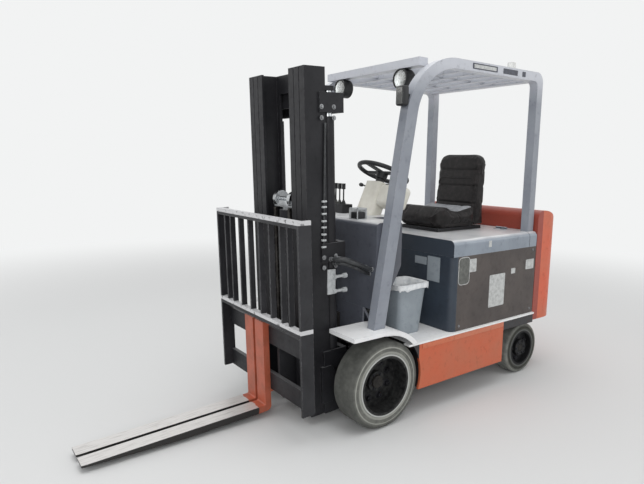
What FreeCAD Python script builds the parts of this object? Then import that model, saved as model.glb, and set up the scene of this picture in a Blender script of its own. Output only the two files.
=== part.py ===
import FreeCAD, Part
import math
import os
import re

import Sketcher

# A four-wheel electric counterbalance forklift with cushion tyres and a three-stage mast.
# Millimetres. X is the truck's left, the forks point along -Y, Z is up, and the floor is Z = 0.
# The origin lies on the floor, under the middle of the overall length. The mast leans forward by
# restTilt, as the truck is parked, with the fork tips just above the floor. Mast pieces are drawn
# upright and then turned about the mast pivot.

sizes = [
    # alias, value, what it measures
    ("frontAxleY", -107.42, "drive axle, from the middle of the overall length"),
    ("wheelbase", 1450, "drive axle to steer axle"),
    ("driveTyreRadius", 266.7, "drive tyre, 21 in over the tread"),
    ("driveTyreWidth", 178, "drive tyre, 7 in wide"),
    ("driveBaseRadius", 190.5, "steel base of the drive tyre, 15 in"),
    ("driveTyreOuterX", 570, "outer face of a drive tyre, from the middle"),
    ("steerTyreRadius", 190.5, "steer tyre, 15 in over the tread"),
    ("steerTyreWidth", 127, "steer tyre, 5 in wide"),
    ("steerBaseRadius", 142.9, "steel base of the steer tyre, 11.25 in"),
    ("steerTyreOuterX", 505, "outer face of a steer tyre, from the middle"),
    ("rimBand", 24, "thickness of a wheel's pressed-on band"),
    ("discPlate", 16, "thickness of a wheel's disc"),
    ("driveDiscInset", 112, "drive wheel's outer face to its disc"),
    ("steerDiscInset", 38, "steer wheel's outer face to its disc"),
    ("hubRadius", 62, "outside of a wheel hub"),
    ("hubReach", 28, "wheel hub beyond each face of its disc"),
    ("tyreShoulder", 16, "rounding of a tyre's shoulders"),
    ("spindleRadius", 42, "drive axle's journal inside a hub"),
    ("steerSpindle", 28, "steer knuckle's journal inside a hub"),
    ("runningFit", 0.05, "radial clearance of a turning fit"),
    ("bodyHalfWidth", 556, "outer face of the frame's side plates"),
    ("panelInset", 11, "battery side panels inside the frame's side plates"),
    ("sidePlate", 16, "thickness of the frame's side plates"),
    ("skirtBottom", 168, "lower edge of the side plates"),
    ("skirtRear", 1135, "drive axle to the rear edge of the side plates"),
    ("sillTop", 477, "top of the sill strip beside floor and battery"),
    ("sillThick", 12, "thickness of the sill strip"),
    ("sillOverhang", 8, "sill strip beyond the side plates"),
    ("archRadius", 303, "wheel arch over the drive tyre"),
    ("fenderTop", 600, "flat top of the front fender"),
    ("fenderFront", 250, "drive axle to the fender's front edge"),
    ("fenderRim", 26, "depth of the fender's folded edge"),
    ("fenderSheet", 5, "thickness of the fender sheet"),
    ("fenderInner", 336, "fender's inner edge, from the middle"),
    ("floorPlate", 12, "thickness of the floor plate"),
    ("floorWell", 232, "drive axle to the rear of the floor's cut-outs over the tyres"),
    ("panFloor", 400, "underside of the battery pan"),
    ("panPlate", 12, "thickness of the battery pan"),
    ("compartmentFront", 582, "drive axle to the front of the battery compartment"),
    ("compartmentRear", 1490, "drive axle to the rear of the hood"),
    ("bulkheadThick", 30, "thickness of the compartment's front wall"),
    ("bulkheadCorner", 44, "radius of the front wall's corners"),
    ("panelThick", 22, "thickness of a battery side panel"),
    ("panelTop", 975, "top of the side panels, underside of the hood"),
    ("hoodTop", 1082, "top of the hood at its side edges"),
    ("hoodSheet", 12, "wall of the hood"),
    ("hoodEdge", 34, "radius of the hood's top edges"),
    ("hoodGap", 4, "gap between the hood and what is under it"),
    ("hingeRadius", 8, "radius of the hood hinges' knuckles"),
    ("hingeClear", 0.5, "hinge knuckles above the hood"),
    ("hingeX", 300, "hood hinges, from the middle"),
    ("hingeWide", 96, "width of a hood hinge"),
    ("hingeLeaf", 34, "length of a hinge leaf"),
    ("hingeSheet", 3, "thickness of a hinge leaf"),
    ("batteryLength", 800, "battery block, along the truck"),
    ("batteryWidth", 980, "battery block, across the truck"),
    ("batteryHeight", 540, "battery block, height"),
    ("weightRear", 1800, "drive axle to the rear face of the counterweight"),
    ("weightTop", 1232, "top of the counterweight"),
    ("weightBottom", 410, "underside of the counterweight beside the wheels"),
    ("weightCorner", 150, "radius of the counterweight's rear corners"),
    ("weightRound", 230, "radius of the counterweight's top edge"),
    ("weightKeelHalf", 310, "half width of the counterweight's low middle"),
    ("weightKeelBottom", 190, "underside of the counterweight's low middle"),
    ("weightKeelFront", 1712, "drive axle to the front of the low middle"),
    ("weightGap", 6, "gap between the hood and the counterweight"),
    ("guardHalfWidth", 514, "outer face of the overhead guard"),
    ("guardTop", 2205, "top of the overhead guard"),
    ("guardTube", 62, "guard tube, across the truck"),
    ("guardDepth", 84, "guard tube, in side view"),
    ("guardFootY", -14, "drive axle to the middle of the front pillar's foot"),
    ("guardRearY", 1452, "drive axle to the middle of the rear pillar"),
    ("guardFrontBend", 420, "radius of the bend over the front pillar"),
    ("guardRearBend", 70, "radius of the bend over the rear pillar"),
    ("guardLean", 9.6, "lean of the front pillar, degrees"),
    ("axleTubeRadius", 78, "drive axle's housing"),
    ("axleFlangeIn", 346, "middle of the truck to the axle's wheel flanges"),
    ("axleFlange", 26, "thickness of a wheel flange"),
    ("axleFlangeRadius", 88, "radius of a wheel flange"),
    ("reductionHalf", 120, "half width of the reduction case"),
    ("reductionRadius", 100, "radius of the reduction case"),
    ("driveSpindleEnd", 480, "end of a drive spindle, from the middle"),
    ("spindleCap", 18, "length of the cap on a spindle's end"),
    ("capStep", 4, "step from an axle spindle down to its end cap"),
    ("motorBehind", 205, "drive axle to the motor behind it"),
    ("motorZ", 262, "height of the motor's axis"),
    ("motorHalf", 240, "half length of the motor"),
    ("motorRadius", 84, "radius of the motor"),
    ("gearCaseWide", 60, "thickness of the gear case between the axle and the motor"),
    ("frontPlateAhead", 40, "drive axle to the frame's front plate"),
    ("frontPlate", 18, "thickness of the frame's front plate"),
    ("crossPlateBehind", 306, "drive axle to the frame's cross plate"),
    ("innerPlateX", 327, "inner frame plates, from the middle"),
    ("innerPlate", 16, "thickness of the inner frame plates"),
    ("frontPlateBottom", 386, "lower edge of the front plate, over the axle"),
    ("tiltWindow", 46, "half width of the front plate's openings for the tilt cylinders"),
    ("tiltWindowTop", 446, "top of those openings"),
    ("pivotEar", 19, "thickness of a mast pivot ear"),
    ("pivotEyeRadius", 40, "radius round the mast pivot's bore"),
    ("pivotPinRadius", 20, "mast pivot pin"),
    ("pivotPinReach", 21, "mast pivot pin inboard of the frame plate"),
    ("floorFront", 190, "drive axle to the front of the sill strips"),
    ("sillIn", 30, "sill strip inside the panels' outer face"),
    ("fenderOuter", 333, "fender's outer radius about the axle"),
    ("bulkheadWing", 46, "length of the front wall along each side"),
    ("batteryBehind", 36, "battery to the rear of its compartment"),
    ("deckFront", 1400, "drive axle to the joint between hood and rear deck"),
    ("weightFrontRound", 60, "radius of the counterweight's front top edge"),
    ("towSlotHalf", 60, "half width of the tow slot"),
    ("towSlotDeep", 78, "depth of the tow slot"),
    ("towSlotBottom", 280, "lower face of the tow slot"),
    ("towSlotHeight", 62, "height of the tow slot"),
    ("towPinRadius", 14, "tow pin"),
    ("towCollar", 22, "radius of the tow pin's collar"),
    ("towPinIn", 38, "tow pin's axis inside the rear face"),
    ("towPinReach", 40, "tow pin below its slot"),
    ("towPinFit", 0.5, "clearance round the tow pin"),
    ("guardRearDepth", 62, "rear pillar, in side view"),
    ("guardRail", 62, "roof rail, height"),
    ("roofBar", 32, "roof bar, width"),
    ("roofBarCount", 6, "roof bars"),
    ("roofBarFirst", 520, "drive axle to the first roof bar"),
    ("roofBarPitch", 148, "one roof bar to the next"),
    ("roofBarDrop", 12, "roof bars below the top of the guard"),
    ("roofBeam", 74, "front and rear beams of the roof, width"),
    ("roofBeamFront", 300, "drive axle to the front beam of the roof"),
    ("roofRibX", 150, "lengthwise roof ribs, from the middle"),
    ("cowlFront", 6, "drive axle to the cowl's front face"),
    ("cowlRear", 210, "drive axle to the cowl's rear edge at its sides"),
    ("cowlTop", 1222, "top of the cowl"),
    ("cowlBottom", 694, "lower edge of the cowl's front"),
    ("cowlWall", 20, "wall of the cowl"),
    ("consoleLeft", 190, "console on the cowl, its left side from the middle"),
    ("consoleRight", 370, "console on the cowl, its right side from the middle"),
    ("consoleRear", 400, "drive axle to the rear of the console"),
    ("consoleBottom", 940, "underside of the console at the cowl"),
    ("consoleFace", 110, "height of the console's rear face"),
    ("kingpinX", 330, "steer kingpins, from the middle"),
    ("kingpinRadius", 18, "kingpin"),
    ("kingpinHalf", 74, "half length of a kingpin"),
    ("knuckleHalf", 38, "half width of a steer knuckle"),
    ("knuckleTall", 43, "half height of a steer knuckle"),
    ("steerEarGap", 1, "gap between a knuckle and the axle's ears"),
    ("steerEar", 24, "thickness of the steer axle's ears"),
    ("steerEarHalf", 29, "half width of those ears, and their reach past the kingpin"),
    ("steerBeamHalf", 42, "half depth of the steer axle beam"),
    ("steerBeamTall", 66, "half height of the steer axle beam"),
    ("steerArm", 55, "kingpin to the pin of the steering arm"),
    ("steerArmPlate", 16, "thickness of a steering arm"),
    ("steerBarrelRadius", 30, "steering cylinder"),
    ("steerBarrelHalf", 150, "half length of the steering cylinder"),
    ("steerRodRadius", 12, "steering cylinder's rod"),
    ("steerMountHalf", 120, "half width of the steer axle's mounts"),
    ("steerMount", 30, "thickness of the steer axle's mounts"),
    ("steerTrunnion", 26, "trunnion the steer axle rocks on"),
    ("cowlHalfWidth", 448, "outer face of the cowl, from the middle"),
    ("cowlKneeZ", 950, "height where the cowl's sides slope back"),
    ("cowlLip", 60, "depth of the cowl at its lower edge"),
    ("binBottomX", 250, "footwell box, inner face at the floor"),
    ("binWide", 150, "footwell box, across the truck"),
    ("binFront", 264, "drive axle to the footwell box"),
    ("binLong", 188, "footwell box, along the truck at the floor"),
    ("binTall", 330, "footwell box, height"),
    ("binFlare", 26, "footwell box, flare of each side to its rim"),
    ("binWall", 6, "footwell box, wall"),
    ("binRim", 12, "footwell box, width of its rim"),
    ("columnRadius", 30, "steering column's tube"),
    ("columnLength", 340, "steering wheel down to the column's foot"),
    ("coverHalfWidth", 88, "column cover, from its middle to a side"),
    ("coverHalfDepth", 58, "column cover, from its middle to its front or back"),
    ("coverRound", 40, "rounding of the column cover's edges"),
    ("coverDrop", 84, "steering wheel's plane to the top of the column cover"),
    ("leverCount", 4, "hydraulic levers"),
    ("leverPitch", 44, "one lever to the next"),
    ("leverX", -300, "first hydraulic lever"),
    ("leverTall", 130, "lever above its console"),
    ("lampRadius", 62, "work lamp"),
    ("lampDepth", 66, "depth of a work lamp"),
    ("lampX", 300, "work lamps, from the middle"),
    ("beaconTall", 40, "warning lamp, height"),
    ("valveHalf", 110, "half width of the hydraulic valve bank"),
    ("valveDeep", 46, "valve bank, front to rear"),
    ("valveTall", 130, "valve bank, height"),
    ("tiltX", 212, "tilt cylinders, from the middle"),
    ("tiltEyeZ", 402, "height of a tilt cylinder's mast pin, upright"),
    ("tiltEyeY", -62, "drive axle to a tilt cylinder's mast pin, upright"),
    ("tiltRearY", 270, "drive axle to a tilt cylinder's frame pin"),
    ("tiltRearZ", 394, "height of a tilt cylinder's frame pin"),
    ("tiltBarrelRadius", 34, "tilt cylinder"),
    ("tiltRodRadius", 18, "tilt cylinder's rod"),
    ("tiltBarrelLength", 255, "tilt cylinder's barrel from its frame pin"),
    ("tiltPinRadius", 12, "tilt cylinder's pins"),
    ("pinShoulder", 4, "tilt cylinder's rear eye inside the barrel's width"),
    ("tiltEyeHalf", 19, "half width of a tilt cylinder's rod eye"),
    ("tiltEyeSlack", 3, "rod eye's play on the mast's pin"),
    ("tiltEye", 24, "radius of a tilt cylinder's eyes"),
    ("restTilt", 2, "mast's forward lean at rest, degrees"),
    ("pivotY", -150, "drive axle to the mast pivot"),
    ("pivotZ", 236, "height of the mast pivot"),
    ("mastFront", -355, "drive axle to the front of the mast, upright"),
    ("mastHalfWidth", 304, "outer face of the outer rails"),
    ("mastTop", 2096, "top of the lowered mast"),
    ("mastBottom", 66, "bottom of the outer rails"),
    ("railDepth", 140, "rail section, front to rear"),
    ("railFlange", 48, "rail section, width of a flange"),
    ("railWeb", 13, "thickness of a rail's web"),
    ("railLip", 15, "thickness of a rail's flange"),
    ("railGap", 6, "gap between one rail and the next"),
    ("crossDepth", 34, "thickness of the mast's cross ties"),
    ("crossHeight", 110, "height of the mast's cross ties"),
    ("liftBarrelRadius", 36, "rear lift cylinder, outside"),
    ("liftRodRadius", 24, "rear lift cylinder's rod"),
    ("freeBarrelRadius", 52, "free-lift cylinder, outside"),
    ("freeRodRadius", 34, "free-lift cylinder's rod"),
    ("freeBarrelTop", 1290, "top of the free-lift cylinder"),
    ("sheaveRadius", 50, "chain sheave"),
    ("sheaveWidth", 30, "chain sheave, width"),
    ("chainWidth", 22, "lift chain, width"),
    ("chainThick", 14, "lift chain, thickness"),
    ("carriageBarDepth", 26, "fork bars, front to rear"),
    ("carriageBarTop", 600, "top of the upper fork bar"),
    ("carriageBarHeight", 110, "height of a fork bar"),
    ("carriageBarSpan", 407, "top of the upper bar to the bottom of the lower"),
    ("carriageHalfWidth", 470, "half length of the fork bars"),
    ("shankFront", -521, "drive axle to the front of the fork shanks, upright"),
    ("forkWidth", 100, "fork, width"),
    ("forkThick", 40, "fork, thickness"),
    ("forkLength", 1070, "fork blade, from the shank's face"),
    ("forkBottom", 54, "underside of the fork blades, upright"),
    ("shankTop", 628, "top of the fork shanks"),
    ("forkTipThick", 12, "fork tip, thickness"),
    ("forkHeelRound", 32, "rounding of the fork's heel"),
    ("nearForkX", -4, "middle of the left fork"),
    ("farForkX", -130, "middle of the right fork"),
    ("restHalfWidth", 485, "half width of the load backrest"),
    ("restTop", 1282, "top of the load backrest"),
    ("restBottom", 646, "lower edge of the load backrest's grille"),
    ("restBar", 14, "thickness of a backrest bar, across"),
    ("restColumnFirst", 61, "load guard's first pair of bars, from the middle"),
    ("restColumnSecond", 179, "its second pair"),
    ("restColumnThird", 296, "its third pair"),
    ("restColumnFourth", 373, "its fourth pair"),
    ("restDepth", 34, "depth of a backrest bar"),
    ("restPlane", -537, "drive axle to the face of the load backrest, upright"),
    ("steerSpindleIn", 22, "steer spindle's end inside the tyre's outer face"),
    ("steerArmHalf", 18, "half width of a steering arm"),
    ("steerRodEye", 14, "half height of the steering rod's eyes"),
    ("armSeat", 0.4, "steering arm's boss over the rod's eye"),
    ("steerArmLift", 20, "steering arm above the wheel's axis"),
    ("cowlRound", 26, "rounding of the cowl's top edges"),
    ("toeRear", 150, "drive axle to the rear of the toe plate"),
    ("binCorner", 34, "footwell box, radius of its corners"),
    ("wheelHubDrop", 46, "steering wheel's hub below its ring"),
    ("wheelHubRadius", 38, "steering wheel's hub"),
    ("wheelSpoke", 30, "steering wheel's spokes, width"),
    ("columnShaft", 12, "steering shaft"),
    ("hubGap", 2, "steering wheel's hub to the column"),
    ("hubCover", 4, "steering wheel's hub over the shaft's end"),
    ("leverConsole", 60, "height of the lever console over the cowl"),
    ("leverKnob", 13, "radius of a lever's knob"),
    ("leverRod", 5, "radius of a lever"),
    ("leverBackY", 240, "drive axle to the levers"),
    ("pedalWide", 80, "pedal, width"),
    ("pedalThick", 10, "pedal, thickness"),
    ("pedalLong", 130, "pedal, length"),
    ("brakePedalX", -16, "middle of the brake pedal, from the truck's middle"),
    ("drivePedalX", 128, "middle of the drive pedal, from the truck's middle"),
    ("pedalY", 190, "drive axle to the pedals"),
    ("carriagePlateX", 118, "carriage side plates, outer face from the middle"),
    ("carriagePlate", 22, "thickness of a carriage side plate"),
    ("rollerWidth", 26, "mast roller, width"),
    ("rollerFit", 0.3, "mast roller to the rail's flanges"),
    ("rollerGap", 2, "end of a roller to the web beside it"),
    ("rollerRise", 66, "foot of a moving rail to its roller"),
    ("rollerPitch", 330, "lower to upper carriage roller"),
    ("rollerLowZ", 170, "height of the lowest carriage roller"),
    ("liftBehind", 42, "rail's rear face to a rear lift cylinder's axis"),
    ("liftBarrelTop", 1830, "top of the rear lift cylinders"),
    ("tieBehind", 86, "rail's rear face to the outer mast's cross ties"),
    ("tieBracket", 12, "thickness of the brackets beside the rear lift cylinders"),
    ("middleTieBehind", 6, "rail's rear face to the middle mast's cross ties"),
    ("middleTie", 20, "thickness of the middle mast's cross ties"),
    ("footPlate", 26, "thickness of the lift cylinders' foot plates"),
    ("beaconY", 1150, "drive axle to the warning lamp"),
    ("beaconRadius", 27, "radius of the warning lamp"),
    ("seatRound", 30, "rounding of the seat's lower and rear edges"),
    ("seatNose", 72, "rounding of the seat cushion's front top edge"),
    ("seatCorner", 90, "rounding of the seat's corners, seen from above or in front"),
    ("seatBackIn", 10, "seat back inside the cushion's sides"),
    ("seatBackTaper", 25, "seat back thinner at its top"),
    ("seatBackThick", 105, "thickness of the seat back"),
    ("softGap", 0.3, "gap between the seat's cushions"),
    ("seatBackLean", 25, "rearward lean of the seat back over its height"),
    ("seatBackTall", 550, "height of the seat back"),
    ("earDrop", 100, "mast pivot ear below the pivot"),
    ("earRise", 130, "mast pivot ear above the pivot"),
    ("tiltEar", 14, "thickness of the ears that hold a tilt cylinder"),
    ("outerTieTopZ", 1850, "height of the outer mast's top tie"),
    ("outerTieMidZ", 1000, "height of the outer mast's middle tie"),
    ("middleTieTopZ", 1900, "height of the middle mast's top tie"),
    ("liftHeadZ", 1972, "height of the bar the lift rods push"),
    ("innerTieMidZ", 1240, "height of the inner mast's middle tie"),
    ("crossheadTall", 40, "height of the free-lift crosshead"),
    ("crossheadRise", 16, "free-lift barrel to its crosshead"),
    ("crossheadDeep", 70, "free-lift crosshead, front to rear"),
    ("sheaveX", 78, "chain sheaves, from the middle"),
    ("sheavePin", 14, "chain sheave's pin"),
    ("chainInset", 3, "chain inside the sheave's rim"),
    ("chainTail", 900, "chain hanging behind a sheave"),
    ("freeForward", 6, "inner mast's ties to the free-lift barrel"),
    ("anchorBar", 24, "carriage's chain anchor bar, front to rear"),
    ("anchorTall", 56, "carriage's chain anchor bar, height"),
    ("hookClear", 0.3, "clearance of a fork's hooks on the bars"),
    ("hookLip", 18, "thickness of a fork hook's lip"),
    ("hookDeep", 24, "fork hook's lip behind a bar"),
    ("forkTaper", 520, "length over which a blade thins to its tip"),
    ("forkTipHalf", 47, "half width of a fork's tip"),
    ("forkTipLong", 30, "length over which a fork narrows to its tip"),
    ("restRail", 40, "height of the backrest's top and bottom rails"),
    ("restEnd", 15, "thickness of the backrest's end plates"),
    ("seatFront", 780, "drive axle to the front of the seat"),
    ("seatWidth", 450, "width of the seat cushion"),
    ("seatDepth", 415, "length of the seat cushion"),
    ("seatThick", 150, "thickness of the seat cushion"),
    ("seatBaseHeight", 24, "height of the seat's slide plate"),
    ("seatBaseIn", 40, "seat's slide plate inside the cushion's sides"),
    ("seatBaseSetback", 240, "front of the compartment to the seat's slide plate"),
    ("wheelRingRadius", 172, "steering wheel, middle of its ring"),
    ("wheelRingTube", 15, "steering wheel, radius of its ring's section"),
    ("columnLean", 25, "lean of the steering column, degrees"),
    ("columnTopY", 450, "drive axle to the middle of the steering wheel"),
    ("columnTopZ", 1500, "height of the steering wheel's middle"),
]

# Sizes that follow from the others
formulas = {
    "panelHalfWidth": "bodyHalfWidth - panelInset",
    "steerAxleY": "frontAxleY + wheelbase",
    "mastPivotY": "frontAxleY + pivotY",
    "outerWebX": "mastHalfWidth - railWeb",
    "middleOuterX": "mastHalfWidth - railFlange - railGap",
    "innerOuterX": "mastHalfWidth - 2 * railFlange - 2 * railGap",
    "windowHalf": "mastHalfWidth - 3 * railFlange - 2 * railGap",
    "railFrontY": "frontAxleY + mastFront",
    "railRearY": "frontAxleY + mastFront + railDepth",
    "middleTieHalf": "mastHalfWidth - 2 * liftBarrelRadius - railGap",
    "railMidY": "frontAxleY + mastFront + railDepth / 2",
    "rollerRadius": "railDepth / 2 - railLip - rollerFit",
    "barFrontY": "frontAxleY + shankFront + forkThick + hookClear",
    "barRearY": "frontAxleY + shankFront + forkThick + hookClear + carriageBarDepth",
    "barLowZ": "carriageBarTop - carriageBarSpan",
    "freeY": "railRearY - railLip - freeForward - freeBarrelRadius",
    "crossheadZ": "freeBarrelTop + crossheadRise",
    "sheaveZ": "freeBarrelTop + crossheadRise + crossheadTall + sheavePin / 2",
    "tiltPinY": "mastPivotY + (frontAxleY + tiltEyeY - mastPivotY) * cos(restTilt)"
                " - (tiltEyeZ - pivotZ) * sin(restTilt)",
    "tiltPinZ": "pivotZ + (frontAxleY + tiltEyeY - mastPivotY) * sin(restTilt)"
                " + (tiltEyeZ - pivotZ) * cos(restTilt)",
    "tiltLength": "sqrt((frontAxleY + tiltRearY - (tiltPinY)) ^ 2 + (tiltRearZ - (tiltPinZ)) ^ 2)",
}

doc = FreeCAD.newDocument("Forklift")
sheet = doc.addObject("Spreadsheet::Sheet", "Sizes")
for row, (alias, value, note) in enumerate(sizes, start=1):
    sheet.set(f"A{row}", note)
    sheet.set(f"B{row}", str(value))
    sheet.setAlias(f"B{row}", alias)
doc.recompute()
aliases = {alias for alias, value, note in sizes}
probe = doc.addObject("Part::Vertex", "Probe")


def bound(expression):
    """Write the expression in terms of the sheet's cells."""
    text = str(expression)
    for depth in range(4):
        text = re.sub(r"\b[A-Za-z]\w*\b", lambda word: f"({formulas[word[0]]})"
                      if word[0] in formulas else word[0], text)
    return re.sub(r"(?<!\.)\b[A-Za-z]\w*\b", lambda word: f"Sizes.{word[0]}"
                  if word[0] in aliases else word[0], text)


def bind(thing, path, expression):
    thing.setExpression(path, bound(expression))


def number(expression):
    """The expression's value with the sizes as they are now."""
    bind(probe, "X", expression)
    probe.recompute()
    return probe.X.Value


def block(name, x, y, z):
    """A box between two values on each axis."""
    solid = doc.addObject("Part::Box", name)
    for axis, side, (low, high) in zip("xyz", ("Length", "Width", "Height"), (x, y, z)):
        bind(solid, f"Placement.Base.{axis}", low)
        bind(solid, side, f"({high}) - ({low})")
    return solid


turns = {
    "X": FreeCAD.Rotation(FreeCAD.Vector(0, 1, 0), 90),
    "Y": FreeCAD.Rotation(FreeCAD.Vector(1, 0, 0), -90),
    "Z": FreeCAD.Rotation(),
}


def rod(name, axis, centre, span, radius):
    """A round bar along an axis; centre holds the other two coordinates in X, Y, Z order."""
    solid = doc.addObject("Part::Cylinder", name)
    solid.Placement = FreeCAD.Placement(FreeCAD.Vector(), turns[axis])
    others = [letter for letter in "XYZ" if letter != axis]
    for letter, value in zip(others, centre):
        bind(solid, f"Placement.Base.{letter.lower()}", value)
    bind(solid, f"Placement.Base.{axis.lower()}", span[0])
    bind(solid, "Height", f"({span[1]}) - ({span[0]})")
    bind(solid, "Radius", radius)
    return solid


def union(name, pieces):
    joined = doc.addObject("Part::MultiFuse", name)
    joined.Shapes = pieces
    return joined


def cut(name, base, tools):
    result = doc.addObject("Part::Cut", name)
    result.Base = base
    result.Tool = tools[0] if len(tools) == 1 else union(f"{name}Tools", tools)
    return result


def common(name, first, second):
    result = doc.addObject("Part::MultiCommon", name)
    result.Shapes = [first, second]
    return result


def side(sign, low, high):
    """The span low..high on the left (sign 1), or its mirror image on the right (sign -1)."""
    return (low, high) if sign > 0 else (f"-({high})", f"-({low})")


def outline(sketch, corners):
    """A closed outline; a corner is (u, v) or, where it is rounded, (u, v, radius)."""
    count = len(corners)
    points = [FreeCAD.Vector(number(corner[0]), number(corner[1]), 0) for corner in corners]
    radii = [number(corner[2]) if len(corner) > 2 else 0 for corner in corners]
    arrive, leave, centres = [], [], []
    for index, point in enumerate(points):
        back = points[index - 1] - point
        ahead = points[(index + 1) % count] - point
        half = back.getAngle(ahead) / 2
        back.normalize()
        ahead.normalize()
        reach = radii[index] / math.tan(half)
        arrive.append(point + back * reach)
        leave.append(point + ahead * reach)
        middle = back + ahead
        if radii[index]:
            middle.normalize()
        centres.append(point + middle * (radii[index] / math.sin(half)))
    lines = [sketch.addGeometry(Part.LineSegment(leave[index], arrive[(index + 1) % count]))
             for index in range(count)]
    up = FreeCAD.Vector(0, 0, 1)
    for index, corner in enumerate(corners):
        before, after = lines[index - 1], lines[index]
        if radii[index]:
            first = arrive[index] - centres[index]
            last = leave[index] - centres[index]
            left_turn = first.cross(last).z > 0
            ends = (first, last) if left_turn else (last, first)
            angles = [math.atan2(end.y, end.x) for end in ends]
            if angles[1] < angles[0]:
                angles[1] += 2 * math.pi
            circle = Part.Circle(centres[index], up, radii[index])
            arc = sketch.addGeometry(Part.ArcOfCircle(circle, angles[0], angles[1]))
            near, far = (1, 2) if left_turn else (2, 1)
            sketch.addConstraint(Sketcher.Constraint("Tangent", before, 2, arc, near))
            sketch.addConstraint(Sketcher.Constraint("Tangent", after, 1, arc, far))
            size = sketch.addConstraint(Sketcher.Constraint("Radius", arc, radii[index]))
            bind(sketch, f"Constraints[{size}]", corner[2])
            spot = sketch.addGeometry(Part.Point(points[index]), True)
            sketch.addConstraint(Sketcher.Constraint("PointOnObject", spot, 1, before))
            sketch.addConstraint(Sketcher.Constraint("PointOnObject", spot, 1, after))
        else:
            sketch.addConstraint(Sketcher.Constraint("Coincident", before, 2, after, 1))
            spot = after
        for kind, value, expression in (("DistanceX", points[index].x, corner[0]),
                                        ("DistanceY", points[index].y, corner[1])):
            place = sketch.addConstraint(Sketcher.Constraint(kind, -1, 1, spot, 1, value))
            bind(sketch, f"Constraints[{place}]", expression)


def drawing(body, name, plane, offset):
    """A sketch on one of the body's own planes, moved along the plane's normal."""
    sketch = body.newObject("Sketcher::SketchObject", name)
    origin = [item for item in body.Origin.OriginFeatures if item.Role == f"{plane}_Plane"][0]
    sketch.AttachmentSupport = (origin, "")
    sketch.MapMode = "FlatFace"
    bind(sketch, "AttachmentOffset.Base.z", offset)
    return sketch


def plate(name, plane, span, corners):
    """An outline padded over a span of the third axis."""
    body = doc.addObject("PartDesign::Body", name)
    offset = f"-({span[1]})" if plane == "XZ" else span[0]
    sketch = drawing(body, f"{name}Sketch", plane, offset)
    outline(sketch, corners)
    pad = body.newObject("PartDesign::Pad", f"{name}Pad")
    pad.Profile = sketch
    bind(pad, "Length", f"({span[1]}) - ({span[0]})")
    sketch.Visibility = False
    return body


def turned(name, corners):
    """A body turned about its own X axis; a corner is (along the axis, radius, rounding)."""
    body = doc.addObject("PartDesign::Body", name)
    sketch = drawing(body, f"{name}Sketch", "XY", "0")
    outline(sketch, corners)
    spin = body.newObject("PartDesign::Revolution", f"{name}Spin")
    spin.Profile = sketch
    spin.ReferenceAxis = (sketch, ["H_Axis"])
    spin.Angle = 360
    return body


parts = {}


def keep(label, solid, pose=None):
    """Name a finished piece, and turn a mast piece with the mast."""
    solid.Label = label
    if pose:
        solid.Placement = pose
    parts[label] = solid
    return solid


mastPose = FreeCAD.Placement(
    FreeCAD.Vector(),
    FreeCAD.Rotation(FreeCAD.Vector(1, 0, 0), number("restTilt")),
    FreeCAD.Vector(0, number("mastPivotY"), number("pivotZ")),
)

# Wheels: a rubber tyre pressed on a steel band, with a disc and a hub that turns on its spindle

wheels = [
    # name, radius, width, base radius, disc inset, spindle radius, outer face X, axle Y
    ("drive", "driveTyreRadius", "driveTyreWidth", "driveBaseRadius", "driveDiscInset",
     "spindleRadius", "driveTyreOuterX", "frontAxleY"),
    ("steer", "steerTyreRadius", "steerTyreWidth", "steerBaseRadius", "steerDiscInset",
     "steerSpindle", "steerTyreOuterX", "steerAxleY"),
]


def wheel(name, hand, sign, radius, width, base, inset, spindle, outer_x, axle_y):
    face = f"{width} / 2"
    disc_out = f"{face} - {inset}"
    disc_in = f"{face} - {inset} - discPlate"
    band = f"{base} - rimBand"
    bore = f"{spindle} + runningFit"
    tyre = turned(f"{name}Tyre{hand}", [
        (f"-{face}", base), (face, base),
        (face, radius, "tyreShoulder"), (f"-{face}", radius, "tyreShoulder"),
    ])
    rim = turned(f"{name}Rim{hand}", [
        (f"-{face}", base), (f"-{face}", band), (disc_in, band),
        (disc_in, "hubRadius"), (f"{disc_in} - hubReach", "hubRadius"),
        (f"{disc_in} - hubReach", bore), (f"{disc_out} + hubReach", bore),
        (f"{disc_out} + hubReach", "hubRadius"), (disc_out, "hubRadius"),
        (disc_out, band), (face, band), (face, base),
    ])
    for piece in (tyre, rim):
        piece.Placement = FreeCAD.Placement(
            FreeCAD.Vector(), FreeCAD.Rotation(FreeCAD.Vector(0, 0, 1), 0 if sign > 0 else 180))
        bind(piece, "Placement.Base.x", f"{sign} * ({outer_x} - {face})")
        bind(piece, "Placement.Base.y", axle_y)
        bind(piece, "Placement.Base.z", radius)
    keep(f"{name}_tyre_{hand.lower()}", tyre)
    keep(f"{name}_rim_{hand.lower()}", rim)


hands = [("Left", 1), ("Right", -1)]
for row in wheels:
    for hand, sign in hands:
        wheel(row[0], hand, sign, *row[1:])

# Drive axle: a housing across the truck with flanges, spindles and a reduction case in the middle


def sided(name, make):
    """The same piece made on both hands, as two solids of one union."""
    return union(name, [make(f"{name}{hand}", sign) for hand, sign in hands])


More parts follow.
